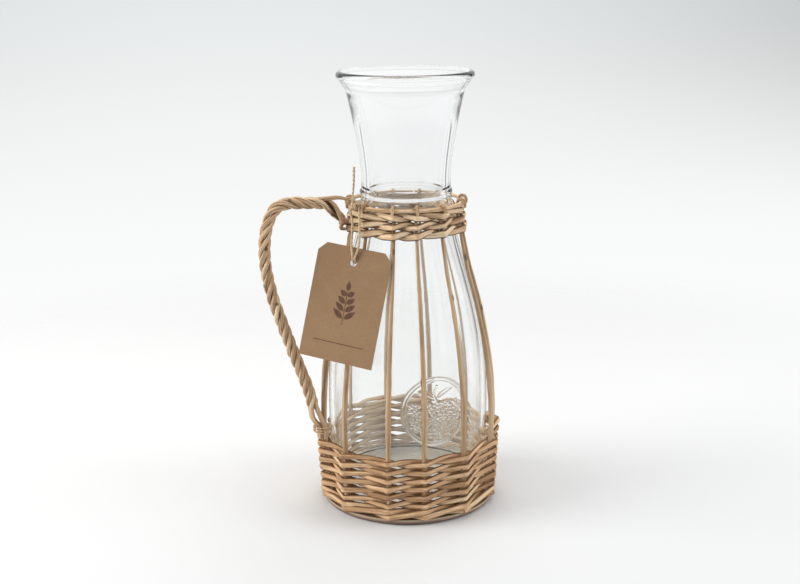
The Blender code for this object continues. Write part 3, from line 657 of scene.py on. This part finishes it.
def glassOutline():
    # From the inner floor up the inside, over the lip, down the outside and under the foot
    g = glass
    low = g["floor"] + g["floorRound"]
    outline = [Vector((g["pole"], 0, g["floor"]))]
    outline += arc(glassRadius(low) - g["wall"] - g["floorRound"], low, g["floorRound"], -90, 0, 12)
    for height in levels(low, g["mouthHeight"], 44)[1:]:
        thick = ease(height, *g["thickFrom"]) * (1 - ease(height, g["thinFrom"], g["mouthHeight"]))
        wall = g["wall"] + (g["neckWall"] - g["wall"]) * thick
        outline.append(Vector((glassRadius(height) - wall, 0, height)))
    outline += arc(g["lipRadius"] - g["lipBead"], g["height"] - g["lipBead"], g["lipBead"], 160, -60, 14)
    marks = (g["mouthHeight"], g["ringHeight"] + g["ringHalfWidth"], g["ringHeight"] - g["ringHalfWidth"],
             medallion["bandTop"], medallion["bandFoot"], g["heelRound"])
    heights = [g["mouthHeight"]]
    for top, foot, steps in zip(marks, marks[1:], (22, 14, 36, 168, 12)):
        heights += levels(top, foot, steps)[1:]
    outline += [Vector((glassRadius(height) + neckRing(height), 0, height)) for height in heights[:-1]]
    heel = g["heelRadius"] - g["heelRound"]
    outline += arc(heel, g["heelRound"], g["heelRound"], 0, -90, 8)
    for distance, height in ((heel - g["footRing"], 0.0003), (heel - g["footRing"] - g["footStep"], g["punt"] * 0.6),
                             (g["pole"], g["punt"])):
        outline.append(Vector((distance, 0, height)))
    return outline


def beadHeight(across, up):
    # Raised beads, each shifted a little from its place in the rows
    m = medallion
    pitch = m["beadPitch"]
    highest = 0.0
    for row in range(round(up / pitch) - 1, round(up / pitch) + 2):
        for column in range(round(across / pitch) - 1, round(across / pitch) + 2):
            wander = noise.noise_vector(Vector((column * 3.7, row * 5.3, 1.5)))
            x = (column + 0.5 * (row % 2) + 1.1 * wander.x) * pitch
            y = (row + wander.y) * pitch * 0.95
            if y > m["fieldTop"] or math.hypot(x, y) > m["radius"] * m["fieldReach"]:
                continue
            offset = math.hypot(across - x, up - y) / (pitch * (0.44 + 0.12 * wander.z))
            if offset < 1:
                highest = max(highest, math.sqrt(1 - offset * offset) * m["beadProud"])
    return highest


def medallionRelief(across, up):
    # Two thin rings round a field of beads, with a plain leaf pair on a stem above them
    m = medallion
    reach = math.hypot(across, up)
    ring = max(0.0, 1 - ((reach - m["radius"]) / m["ringWidth"]) ** 2) * m["ringProud"]
    inside = (reach - m["radius"] * m["innerRing"]) / (m["ringWidth"] * 0.7)
    inner = max(0.0, 1 - inside ** 2) * m["ringProud"] * 0.5
    leaves = 0.0
    cosine, sine = m["leafTurn"]
    for side in (-1, 1):
        x, y = side * across - m["leafPlace"][0], up - m["leafPlace"][1]
        along, beside = (x * cosine + y * sine) / m["leafLength"], -x * sine + y * cosine
        blade = 1 - along ** 2 - (beside / (m["leafWidth"] * (1 - 0.10 * along))) ** 2
        if blade > 0:
            vein = max(0.0, 1 - abs(beside) / m["veinHalfWidth"])
            leaves = max(leaves, (math.sqrt(blade) * 0.5 + 0.5 * vein) * m["beadProud"] * 0.8)
    aside = abs(across - m["stemSway"] * math.sin(up * m["swayPerMetre"]))
    onStem = aside < m["stemHalfWidth"] and m["stemFrom"] < up < m["stemTo"]
    return max(ring, inner, beadHeight(across, up), leaves, m["ringProud"] * 0.8 if onStem else 0.0)


def makeGlass():
    m = medallion
    outline = glassOutline()
    shape = bmesh.new()
    for start, end, steps in ((m["from"], m["to"], m["columns"]), (m["to"], m["from"] + 360, m["otherColumns"])):
        turn = Matrix.Rotation(math.radians(start - 90), 3, "Z")
        verts = [shape.verts.new(turn @ point) for point in outline]
        edges = [shape.edges.new(pair) for pair in zip(verts, verts[1:])]
        bmesh.ops.spin(shape, geom=verts + edges, cent=(0, 0, 0), axis=(0, 0, 1), angle=math.radians(end - start),
                       steps=steps, use_merge=False)
    bmesh.ops.remove_doubles(shape, verts=shape.verts[:], dist=0.00002)
    rims = [edge for edge in shape.edges if edge.is_boundary]
    bmesh.ops.holes_fill(shape, edges=rims, sides=400)
    bmesh.ops.recalc_face_normals(shape, faces=shape.faces[:])
    for vert in shape.verts:
        reach = math.hypot(vert.co.x, vert.co.y)
        onOuterWall = reach > glassRadius(min(vert.co.z, glass["mouthHeight"])) - 0.0009
        if onOuterWall and m["bandFoot"] - 0.001 < vert.co.z < m["bandTop"] + 0.001:
            azimuth = math.degrees(math.atan2(vert.co.x, -vert.co.y)) - m["azimuth"]
            proud = medallionRelief(math.radians(azimuth) * reach, vert.co.z - m["height"])
            vert.co.x *= 1 + proud / reach
            vert.co.y *= 1 + proud / reach
    for face in shape.faces:
        face.smooth = True
        face.material_index = 1 if face.calc_center_median().z < glass["stippleTop"] else 0
    bmesh.ops.translate(shape, verts=shape.verts[:], vec=(0, 0, glass["foot"]))
    stands(finishedPiece("decanter", shape, clearGlass, stippledGlass), "carafe", "clear_glass", "glass_carafe")


makeGlass()
print("glass spun")


def makeStakes():
    foot = jacket["baseThickness"] - jacket["holeDepth"] + gap
    heights = [foot, jacket["baseThickness"] + gap, 0.5 * basketTop] + levels(basketTop, jacket["collarBottom"], 6)
    heights += [(jacket["collarBottom"] + lastCollarRow) / 2, lastCollarRow]
    for number, azimuth in enumerate(jacket["stakeAzimuths"], 1):
        route = [place(azimuth, stakeLine(max(height, jacket["baseThickness"])), height) for height in heights]
        radii = [stakeThickness(height) for height in heights]
        hook = overBorder(azimuth, jacket["tipRadius"], (180, 130, 90, 50, 0), 1.05)
        route += hook + [hook[-1] - Vector((0, 0, jacket["tipDrop"]))]
        radii += [jacket["tipRadius"]] * (len(hook) + 1)
        sway = chance.uniform(-1, 1) * jacket["sway"]
        for index in range(4, 9):
            route[index] += sideways(azimuth) * sway * math.sin(math.pi * (index - 3) / 6)
            radii[index] *= 1.10
        layWillow(f"stake_{number:02d}", smoothRoute(route, 16), smoothValues(radii, 16), "stake", lump=0.12,
                  budSpacing=1.0)


makeStakes()
print("stakes set up")


# One repeat of each weave as (side of the stake, step up or down)
pairing = ((1, 0), (0, 1), (-1, 0), (0, -1))
wale = ((1, -1), (1, 0), (1, 1), (0, 1), (-1, 0), (0, -1))


stroke = {"bend": 0.24, "wander": 0.00042, "change": 0.13, "butt": 1.09, "tip": 0.90, "lump": 0.12, "steps": 4,
          "lean": 0.00030, "thinBack": 0.17, "backFrom": 120, "backTo": 165, "trim": 0.0012, "budSpacing": 1.6}


def weaveRod(name, pattern, start, lag, height, slant, sizes, tone, bays=12, section=strokeSection, waist=1.0):
    # Straight between the stakes and bent sharply over each of them
    radius, swell, squeeze, lift = sizes
    azimuths = jacket["stakeAzimuths"]
    count = len(azimuths)
    line = stakeLine(height)
    outer = stakeThickness(height) + gap + jacket["cornerEase"] + radius * swell
    inner = stakeThickness(height) + gap + radius * squeeze
    corners, thick = [], []
    for step in range(2 * bays + 1):
        bay, partWay = divmod(step, 2)
        side, rise = pattern[(step + 2 * lag) % len(pattern)]
        here = (start + bay) % count
        reach = line + (outer if side > 0 else inner) * side + rise * slant * stroke["lean"]
        point = place(azimuths[here], reach, 0).lerp(place(azimuths[(here + 1) % count], reach, 0), partWay / 2)
        point.z = height + slant * lift * rise + chance.uniform(-1, 1) * stroke["wander"]
        corners.append(point)
        taper = stroke["butt"] + (stroke["tip"] - stroke["butt"]) * step / (2 * bays)
        taper *= 1 + chance.uniform(-1, 1) * stroke["change"]
        if name.startswith("basket"):
            away = abs((azimuths[here] + partWay * 15 + 180) % 360 - 180)
            taper *= 1 - stroke["thinBack"] * ease(away, stroke["backFrom"], stroke["backTo"])
        thick.append(radius * taper * (swell if side >= 1 else squeeze if side <= -1 else waist))
    corners[-1] -= (corners[-1] - corners[-2]).normalized() * stroke["trim"]
    route, radii = [corners[0]], [thick[0]]
    for index in range(1, len(corners)):
        share = stroke["bend"] if index % 2 else 1 - stroke["bend"]
        route += [corners[index - 1].lerp(corners[index], share), corners[index]]
        radii += [thick[index - 1] + (thick[index] - thick[index - 1]) * share, thick[index]]
    steps = stroke["steps"]
    layWillow(name, smoothRoute(route, steps), smoothValues(radii, steps), tone, section=section, lump=stroke["lump"],
              budSpacing=stroke["budSpacing"])


def makeBasket():
    rod = (rodRadius, jacket["rodSwell"], jacket["rodSqueeze"])
    for index, letter in enumerate("abc"):
        weaveRod(f"foot_wale_{letter}", wale, 10 + index, 2, waleHeight, 1, (*rod, waleCrossing), "weave")
    for row in range(jacket["rows"]):
        for index, letter in enumerate("ab"):
            weaveRod(f"basket_row_{row + 1}{letter}", pairing, 9 + row % 3 + index, 1, firstRow + row * rowPitch, 1,
                     (*rod, crossing), "weave")
    for (start, bays), letter in zip(jacket["topRowRods"], "ab"):
        weaveRod(f"basket_top_row_{letter}", pairing, start, 1, firstRow + jacket["rows"] * rowPitch, 1,
                 (*rod, crossing), "weave", bays)


def makeCollar():
    sizes = (collarRodRadius, jacket["collarSwell"], jacket["collarSqueeze"], 0.9 * collarCrossing)
    for row in range(jacket["collarRows"]):
        slant = -1 if row == jacket["collarRows"] - 1 else 1
        height = firstCollarRow + row * collarPitch
        for index, letter in enumerate("ab"):
            weaveRod(f"collar_row_{row + 1}{letter}", pairing, 9 + row % 3 + index, 1, height, slant, sizes,
                     "collar", section=collarSection, waist=0.95)
    start = jacket["stakeAzimuths"][-1] + 8
    turn = 360 - math.degrees(jacket["borderSeam"] / borderLine)
    route = [place(azimuth, borderLine, borderHeight) for azimuth in levels(start, start + turn, 120)]
    layWillow("border_rod", route, jacket["borderRadius"], "collar", lump=0.10, budSpacing=1.2)


makeBasket()
makeCollar()
print("basket and collar woven")


# Handle: four rods laid round a line of (distance from the axis, height)
handle = {
    "stake": 3, "rodRadius": 0.0013, "shownRadius": 0.00158, "shownLay": 0.0023, "lay": 0.028, "pointsPerTurn": 8,
    "endTurn": 0.625, "tipRadius": 0.00095, "places": (0.25, 0.0, 0.5, 0.75), "routeSteps": 5,
    "upperTipShift": -9.0, "upperTipSweep": 5.0, "upperTipReach": 0.0075, "upperTipRise": 0.0040,
    "lowerTipPitch": 0.0027, "lowerTipReach": 0.0032, "lowerTipRise": 0.0012,
    "lowerTipSides": (0.0008, -0.0008, 0.0008),
    "neckLine": ((0.0411, 0.1820, 0.00140), (0.0440, 0.1862, 0.00156), (0.0472, 0.1904, 0.00160),
                 (0.0502, 0.1930, 0.00160)),
    "neckTurn": 0.13, "neckLay": 1.36, "neckCore": 2.1,
    "line": ((0.0530, 0.1937), (0.0640, 0.1942), (0.0728, 0.1948), (0.0800, 0.1930), (0.0846, 0.1880),
             (0.0880, 0.1780), (0.0892, 0.1670), (0.0888, 0.1570), (0.0872, 0.1462), (0.0838, 0.1325),
             (0.0794, 0.1190), (0.0743, 0.1040), (0.0690, 0.0890), (0.0646, 0.0760), (0.0618, 0.0645)),
    "lashingRadius": 0.0006, "lashingTurns": 2.25, "lashingPitch": 0.0017, "lashingRise": 0.005,
    "lashingEase": 0.0010, "lashingSteps": 28, "footCurl": 0.0016,
}


def evenlySpaced(route, count):
    reached = [0.0]
    for start, end in zip(route, route[1:]):
        reached.append(reached[-1] + (end - start).length)
    spaced, index = [], 0
    for number in range(count):
        wanted = reached[-1] * number / (count - 1)
        while index < len(route) - 2 and reached[index + 1] < wanted:
            index += 1
        share = (wanted - reached[index]) / (reached[index + 1] - reached[index])
        spaced.append(route[index].lerp(route[index + 1], min(1.0, share)))
    return spaced


def handleFrame(azimuth):
    line = smoothRoute([place(azimuth, distance, height) for distance, height in handle["line"]], 6)
    turns = round(routeLength(line) / handle["lay"] - handle["endTurn"]) + handle["endTurn"]
    count = round(turns * handle["pointsPerTurn"]) + 1
    line = evenlySpaced(line, count)
    side = sideways(azimuth)
    steps = []
    for index, point in enumerate(line):
        along = (line[min(index + 1, count - 1)] - line[max(index - 1, 0)]).normalized()
        steps.append((point, side, along.cross(side)))
    return steps


def collarTips(azimuth):
    # One rod hooks over the border rod, the others end on the collar's strokes
    h = handle
    aside = azimuth + h["upperTipShift"]
    hook = overBorder(aside, h["tipRadius"], (180, 135, 90, 55), 1.1)
    hook.append(place(aside + h["upperTipSweep"], borderLine + h["upperTipReach"], borderHeight + h["upperTipRise"]))
    tips = [hook]
    over = 2 * collarRodRadius * jacket["collarSwell"] + jacket["cornerEase"] + gap
    for stepsUp, onStroke, beside in zip((1, 0, -1), (True, False, True), h["lowerTipSides"]):
        height = lastCollarRow - 1.5 * collarPitch + stepsUp * h["lowerTipPitch"]
        shift = sideways(azimuth) * beside
        face = stakeLine(height) + stakeThickness(height) + gap
        tips.append([place(azimuth, face + over if onStroke else face, height) + shift,
                     place(azimuth, face + over + h["lowerTipReach"], height + h["lowerTipRise"]) + shift])
    return tips


def basketTips(azimuth):
    beside = jacket["stakeRadius"] + gap + handle["rodRadius"]
    rise = handle["lashingRise"]
    tips = []
    for across, out in ((beside, 0.0), (-beside, 0.0), (0.52 * beside, beside), (-0.52 * beside, beside)):
        offset = sideways(azimuth) * across + outward(azimuth) * out
        tips.append([place(azimuth, stakeLine(basketTop + rise), basketTop + 1.5 * rise) + offset,
                     place(azimuth, stakeLine(basketTop), basketTop + gap) + offset])
    return tips


def makeHandle(azimuth):
    # Each rod as a route of (point, its radius, the middle of what it is laid round, how far out that reaches)
    h = handle
    loose = h["tipRadius"] / 2
    upward = (outward(azimuth) + Vector((0, 0, 1.1))).normalized().cross(sideways(azimuth))
    for number, (starts, ends) in enumerate(zip(collarTips(azimuth), basketTips(azimuth))):
        points = [(point, h["tipRadius"], point, loose) for point in starts]
        points[-1] = (starts[-1], 0.0012, starts[-1], loose)
        for index, (distance, height, radius) in enumerate(h["neckLine"] if number else ()):
            # Three of the rods stay twisted together down to the collar
            middle = place(azimuth, distance, height)
            turn = math.tau * ((index - len(h["neckLine"])) * h["neckTurn"] + h["places"][number])
            away = math.cos(turn) * sideways(azimuth) + math.sin(turn) * upward
            points.append((middle + h["neckLay"] * radius * away, radius, middle, h["neckCore"] * radius))
        for index, (middle, side, up) in enumerate(handleFrame(azimuth)):
            turn = math.tau * (index / h["pointsPerTurn"] + h["places"][number])
            away = math.cos(turn) * side + math.sin(turn) * up
            points.append((middle + h["shownLay"] * away, h["shownRadius"], middle, h["shownLay"] + h["shownRadius"]))
        if number > 1:
            bulge = points[-1][0].lerp(ends[0], 0.55) + outward(azimuth) * h["footCurl"]
            points.append((bulge, h["rodRadius"] * 1.2, bulge, loose))
        points += [(ends[0], h["rodRadius"] * 1.1, ends[0], loose), (ends[1], h["rodRadius"], ends[1], loose)]
        route, radii, middles, reaches = zip(*points)
        steps = h["routeSteps"]
        core = []
        for index in range(len(points) - 1):
            reach = min(reaches[index:index + 2])
            core += [(middles[index].lerp(middles[index + 1], step / steps), reach) for step in range(steps)]
        core.append((middles[-1], reaches[-1]))
        layWillow(f"handle_rod_{number + 1}", smoothRoute(route, steps), smoothValues(radii, steps), "handle",
                  lump=0.12, budSpacing=1.3, core=core)


def lashHandle(azimuth):
    h = handle
    behind = jacket["stakeRadius"] + gap + h["lashingRadius"]
    reach = behind + 2 * h["rodRadius"] + gap
    route = []
    for step in range(round(h["lashingSteps"] * h["lashingTurns"]) + 1):
        turn = math.tau * step / h["lashingSteps"]
        height = basketTop + h["lashingRise"] + h["lashingPitch"] * step / h["lashingSteps"]
        route.append(place(azimuth, stakeLine(height) + (reach - behind) / 2, height)
                     + sideways(azimuth) * (reach + h["lashingEase"]) * math.cos(turn)
                     + outward(azimuth) * ((reach + behind) / 2 + h["lashingEase"]) * math.sin(turn))
    piece = layRod("cane_lashing", route, h["lashingRadius"] * 1.3, splitCane, caneSection)
    stands(piece, "carafe", "split_cane", "foot_lashing")


handleAzimuth = jacket["stakeAzimuths"][handle["stake"]]
makeHandle(handleAzimuth)
lashHandle(handleAzimuth)
print("handle laid")


# Hang tag
tag = {
    "hole": (-0.032, -0.030066, 0.1602), "width": 0.048, "length": 0.070, "thickness": 0.0006, "corner": 0.0052,
    "holeRadius": 0.0024, "holeDrop": 0.009, "yaw": -20.0, "lean": 14.3, "roll": 7.0, "inkDepth": 0.00002,
    "ruleHalf": 0.0165, "ruleFoot": -0.0500, "ruleTop": -0.0495,
}
sprig = {"foot": -0.0385, "top": -0.0180, "pairs": 4, "firstPair": -0.0345, "pairPitch": 0.0046, "leafLength": 0.0088,
         "lessEachPair": 0.0012, "leafWidth": 0.0017, "spread": 52, "offStem": 0.0005, "stemHalf": (0.0002, 0.0003),
         "topLeaf": -0.0176, "topLength": 0.0062, "topWidth": 0.0015}


def tagTurn():
    turn = Matrix.Rotation(math.radians(tag["yaw"]), 3, "Z") @ Matrix.Rotation(math.radians(-tag["lean"]), 3, "X")
    turn = turn @ Matrix.Rotation(math.radians(tag["roll"]), 3, "Y")
    return Matrix.Translation(tag["hole"]) @ (turn @ Matrix.Rotation(math.pi / 2, 3, "X")).to_4x4()


def flatPiece(name, outlines, thickness, lift, finish):
    # Outlines in the card's plane as one thin mesh, lifted off its middle
    curve = polyCurve(name, "2D", outlines)
    curve.fill_mode = "BOTH"
    curve.extrude = thickness / 2
    shape = builtShape(name, curve)
    bmesh.ops.transform(shape, matrix=tagTurn() @ Matrix.Translation((0, 0, lift)), verts=shape.verts[:])
    return finishedPiece(name, shape, finish)


def leafOutline(x, y, length, width, angle):
    points = []
    for side in (1, -1):
        for step in range(9):
            share = step / 9 if side > 0 else 1 - step / 9
            along = share * length
            across = side * width * math.sin(math.pi * share ** 0.8)
            points.append((x + along * math.cos(angle) - across * math.sin(angle),
                           y + along * math.sin(angle) + across * math.cos(angle)))
    return points


def makeTag():
    half, top, corner = tag["width"] / 2, tag["holeDrop"], tag["corner"]
    edge = [(-half, top - tag["length"]), (half, top - tag["length"]), (half, top - corner),
            (half - corner, top), (-half + corner, top), (-half, top - corner)]
    hole = [(tag["holeRadius"] * math.cos(turn), tag["holeRadius"] * math.sin(turn))
            for turn in levels(0, math.tau, 40)[:-1]]
    card = flatPiece("card", [edge, hole], tag["thickness"], 0.0, brownCard)
    stands(card, "tag", "brown_card", "hang_tag")
    foot, tip = sprig["stemHalf"]
    outlines = [[(-foot, sprig["foot"]), (foot, sprig["foot"]), (tip, sprig["top"]), (-tip, sprig["top"])]]
    for row in range(sprig["pairs"]):
        for side in (-1, 1):
            outlines.append(leafOutline(side * sprig["offStem"], sprig["firstPair"] + row * sprig["pairPitch"],
                                        sprig["leafLength"] - row * sprig["lessEachPair"], sprig["leafWidth"],
                                        math.pi / 2 - side * math.radians(sprig["spread"])))
    outlines.append(leafOutline(0, sprig["topLeaf"], sprig["topLength"], sprig["topWidth"], math.pi / 2))
    rule, low, high = tag["ruleHalf"], tag["ruleFoot"], tag["ruleTop"]
    outlines.append([(-rule, low), (rule, low), (rule, high), (-rule, high)])
    printed = flatPiece("leaf_print", outlines, tag["inkDepth"], tag["thickness"] / 2 + tag["inkDepth"], brownInk)
    stands(printed, "tag", "brown_card")


makeTag()
print("tag cut and printed")


def makeKnots():
    route = smoothRoute(twine["knotRoute"], 4)
    radii = [twine["radius"] * (twine["shown"] + (twine["frayed"] - twine["shown"]) * (1 - ease(index, 1, 5)))
             for index in range(len(route))]
    stands(layTwine("collar_knot_twine", route, radii, 0.16), "carafe", "jute_twine", "collar_knot")
    turn = tagTurn().to_3x3()
    loop = []
    for share in levels(0, math.tau * twine["stopKnotTurn"], 47):
        spot = Vector((math.sin(share) + 2 * math.sin(2 * share),
                       twine["stopKnotFlat"] * (math.cos(share) - 2 * math.cos(2 * share)),
                       -twine["stopKnotDeep"] * math.sin(3 * share)))
        loop.append(Vector(twine["stopKnot"]) + turn @ (spot * twine["stopKnotSize"]))
    return stands(layTwine("stop_knot_twine", loop, twine["radius"] * 1.02, 0.1), "string", "jute_twine", "stop_knot")


stopKnot = makeKnots()
for (strand, route), carried in zip(strands, ([stopKnot], [])):
    routeLength(route)
for section in sections:
    bpy.data.objects.remove(section)
print("knots tied")


board = {"points": 120, "footRound": (0.0030, 8), "topRound": (0.0005, 2)}


def makeBoard():
    low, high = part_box("base_board")
    top = jacket["baseThickness"]
    shape = bmesh.new()
    bmesh.ops.create_circle(shape, cap_ends=True, segments=board["points"],
                            radius=(high[0] - low[0]) / 2 - jacket["baseEase"])
    raised = bmesh.ops.extrude_face_region(shape, geom=shape.faces[:])["geom"]
    verts = [part for part in raised if isinstance(part, bmesh.types.BMVert)]
    bmesh.ops.translate(shape, verts=verts, vec=(0, 0, top))
    bmesh.ops.recalc_face_normals(shape, faces=shape.faces[:])
    for (offset, segments), level in ((board["footRound"], 0.0), (board["topRound"], top)):
        rims = [edge for edge in shape.edges if len(edge.link_faces) == 2 and edge.calc_face_angle() > 1.0
                and all(abs(vert.co.z - level) < 0.0001 for vert in edge.verts)]
        bmesh.ops.bevel(shape, geom=rims, offset=offset, segments=segments, profile=0.5, affect="EDGES", material=-1)
    for face in shape.faces:
        face.smooth = len(face.verts) == 4
    stands(finishedPiece("round_board", shape, palePlywood), "carafe", "pale_plywood", "base_board")


makeBoard()
print("board turned")


# Studio: pale floor that fades into the backdrop, a soft lamp on each side
studio = {
    "floorRadius": 1.6, "fadeFrom": 0.30, "fadeTo": 0.70, "worldLight": 0.30, "aim": (0, 0, 0.12),
    "floorStops": [(0.44, (0.725, 0.735, 0.737)), (0.52, (0.755, 0.76, 0.76)), (0.61, (0.785, 0.79, 0.79))],
    "backdropStops": [(0.15, (0.955, 0.96, 0.96)), (0.26, (0.965, 0.97, 0.97)), (0.32, (0.935, 0.94, 0.94)),
                      (0.39, (0.885, 0.89, 0.89)), (0.47, (0.79, 0.825, 0.825)), (0.50, (0.79, 0.82, 0.82)),
                      (0.56, (1.0, 1.0, 1.0))],
    # Name, azimuth, elevation, distance, size, power, color
    "lamps": (("left_lamp", -78, 30, 1.3, 0.9, 14.2, (1.0, 0.985, 0.96)),
              ("right_lamp", 78, 30, 1.3, 0.9, 8.2, (0.98, 0.99, 1.0)),
              ("top_lamp", 165, 68, 1.3, 1.0, 7.0, (1.0, 1.0, 1.0)),
              ("front_lamp", -20, 58, 1.4, 1.0, 1.9, (1.0, 1.0, 1.0))),
}


def makeFloor():
    finish = Finish("studio_floor")
    spot = finish.objectPlace()
    # Painted shade: the floor's colour runs darker in front of the object than behind it
    finish.use(Base_Color=finish.ramp(finish.split(spot, 1) + 0.5, studio["floorStops"]), Roughness=0.85,
               Specular_IOR_Level=0.15)
    fade = finish.mask(finish.distance(spot), studio["fadeFrom"], studio["fadeTo"])
    finish.giveWay(fade, finish.add("ShaderNodeBsdfTransparent"))
    shape = bmesh.new()
    bmesh.ops.create_circle(shape, cap_ends=True, segments=96, radius=studio["floorRadius"])
    floor = finishedPiece("floor", shape, finish.material)


def makeWorld():
    # The camera sees the backdrop; glass also sees a dark flag on each side, which draws its edges
    world = bpy.data.worlds.new("studio")
    bpy.context.scene.world = world
    finish = Finish("studio", world)
    tree = finish.tree
    tree.nodes.clear()
    way = finish.add("ShaderNodeTexCoord", out="Generated")
    aside, ahead, height = (finish.split(way, axis) for axis in range(3))
    backdrop = finish.ramp(height + 0.5, studio["backdropStops"])
    corner = (finish.mask(height, -0.20, -0.03) * finish.mask(ahead, 0.86, 0.95)
              * (aside + 0.12) * (aside + 0.12) * 1.5)
    backdrop = finish.blendColors(reckon(tree, "MINIMUM", corner, 0.26), backdrop, (0.0, 0.0, 0.0))
    level = 1 - finish.mask(height * height, 0.06, 0.16)
    flags = 0
    for side, dark in ((aside, 0.9), (0 - aside, 0.6)):
        flags = flags + (finish.mask(side, 0.55, 0.60) - finish.mask(side, 0.64, 0.68)) * dark
    seen = finish.blendColors(flags * level * finish.mask(ahead, 0.0, 0.1), backdrop, (0.12, 0.13, 0.13))
    cameraRay, glossyRay, passingRay = (finish.add("ShaderNodeLightPath", out=f"Is {kind} Ray")
                                        for kind in ("Camera", "Glossy", "Transmission"))
    shown = finish.add("ShaderNodeBackground", sockets={"Color": finish.blendColors(cameraRay, seen, backdrop)})
    light = finish.add("ShaderNodeBackground", sockets={"Color": (1.0, 1.0, 1.0), "Strength": studio["worldLight"]})
    direct = reckon(tree, "MAXIMUM", cameraRay, reckon(tree, "MAXIMUM", glossyRay, passingRay))
    mixed = finish.add("ShaderNodeMixShader", sockets={0: direct, 1: light, 2: shown})
    output = tree.nodes.new("ShaderNodeOutputWorld")
    tree.links.new(mixed.socket, output.inputs["Surface"])


def addLight(name, azimuth, elevation, distance, size, power, color):
    data = bpy.data.lights.new(name, "AREA")
    data.shape = "DISK"
    data.size = size
    data.energy = power
    data.color = color
    lamp = link(bpy.data.objects.new(name, data))
    lamp.visible_glossy = False  # no lamp shows as a white patch on the glass
    lamp.visible_transmission = False
    angle = math.radians(elevation)
    lamp.location = place(azimuth, distance * math.cos(angle), distance * math.sin(angle))
    lamp.rotation_euler = (Vector(studio["aim"]) - lamp.location).to_track_quat("-Z", "Y").to_euler()


makeFloor()
makeWorld()
for lamp in studio["lamps"]:
    addLight(*lamp)
bpy.context.scene.view_settings.view_transform = "Standard"
print("studio lit")
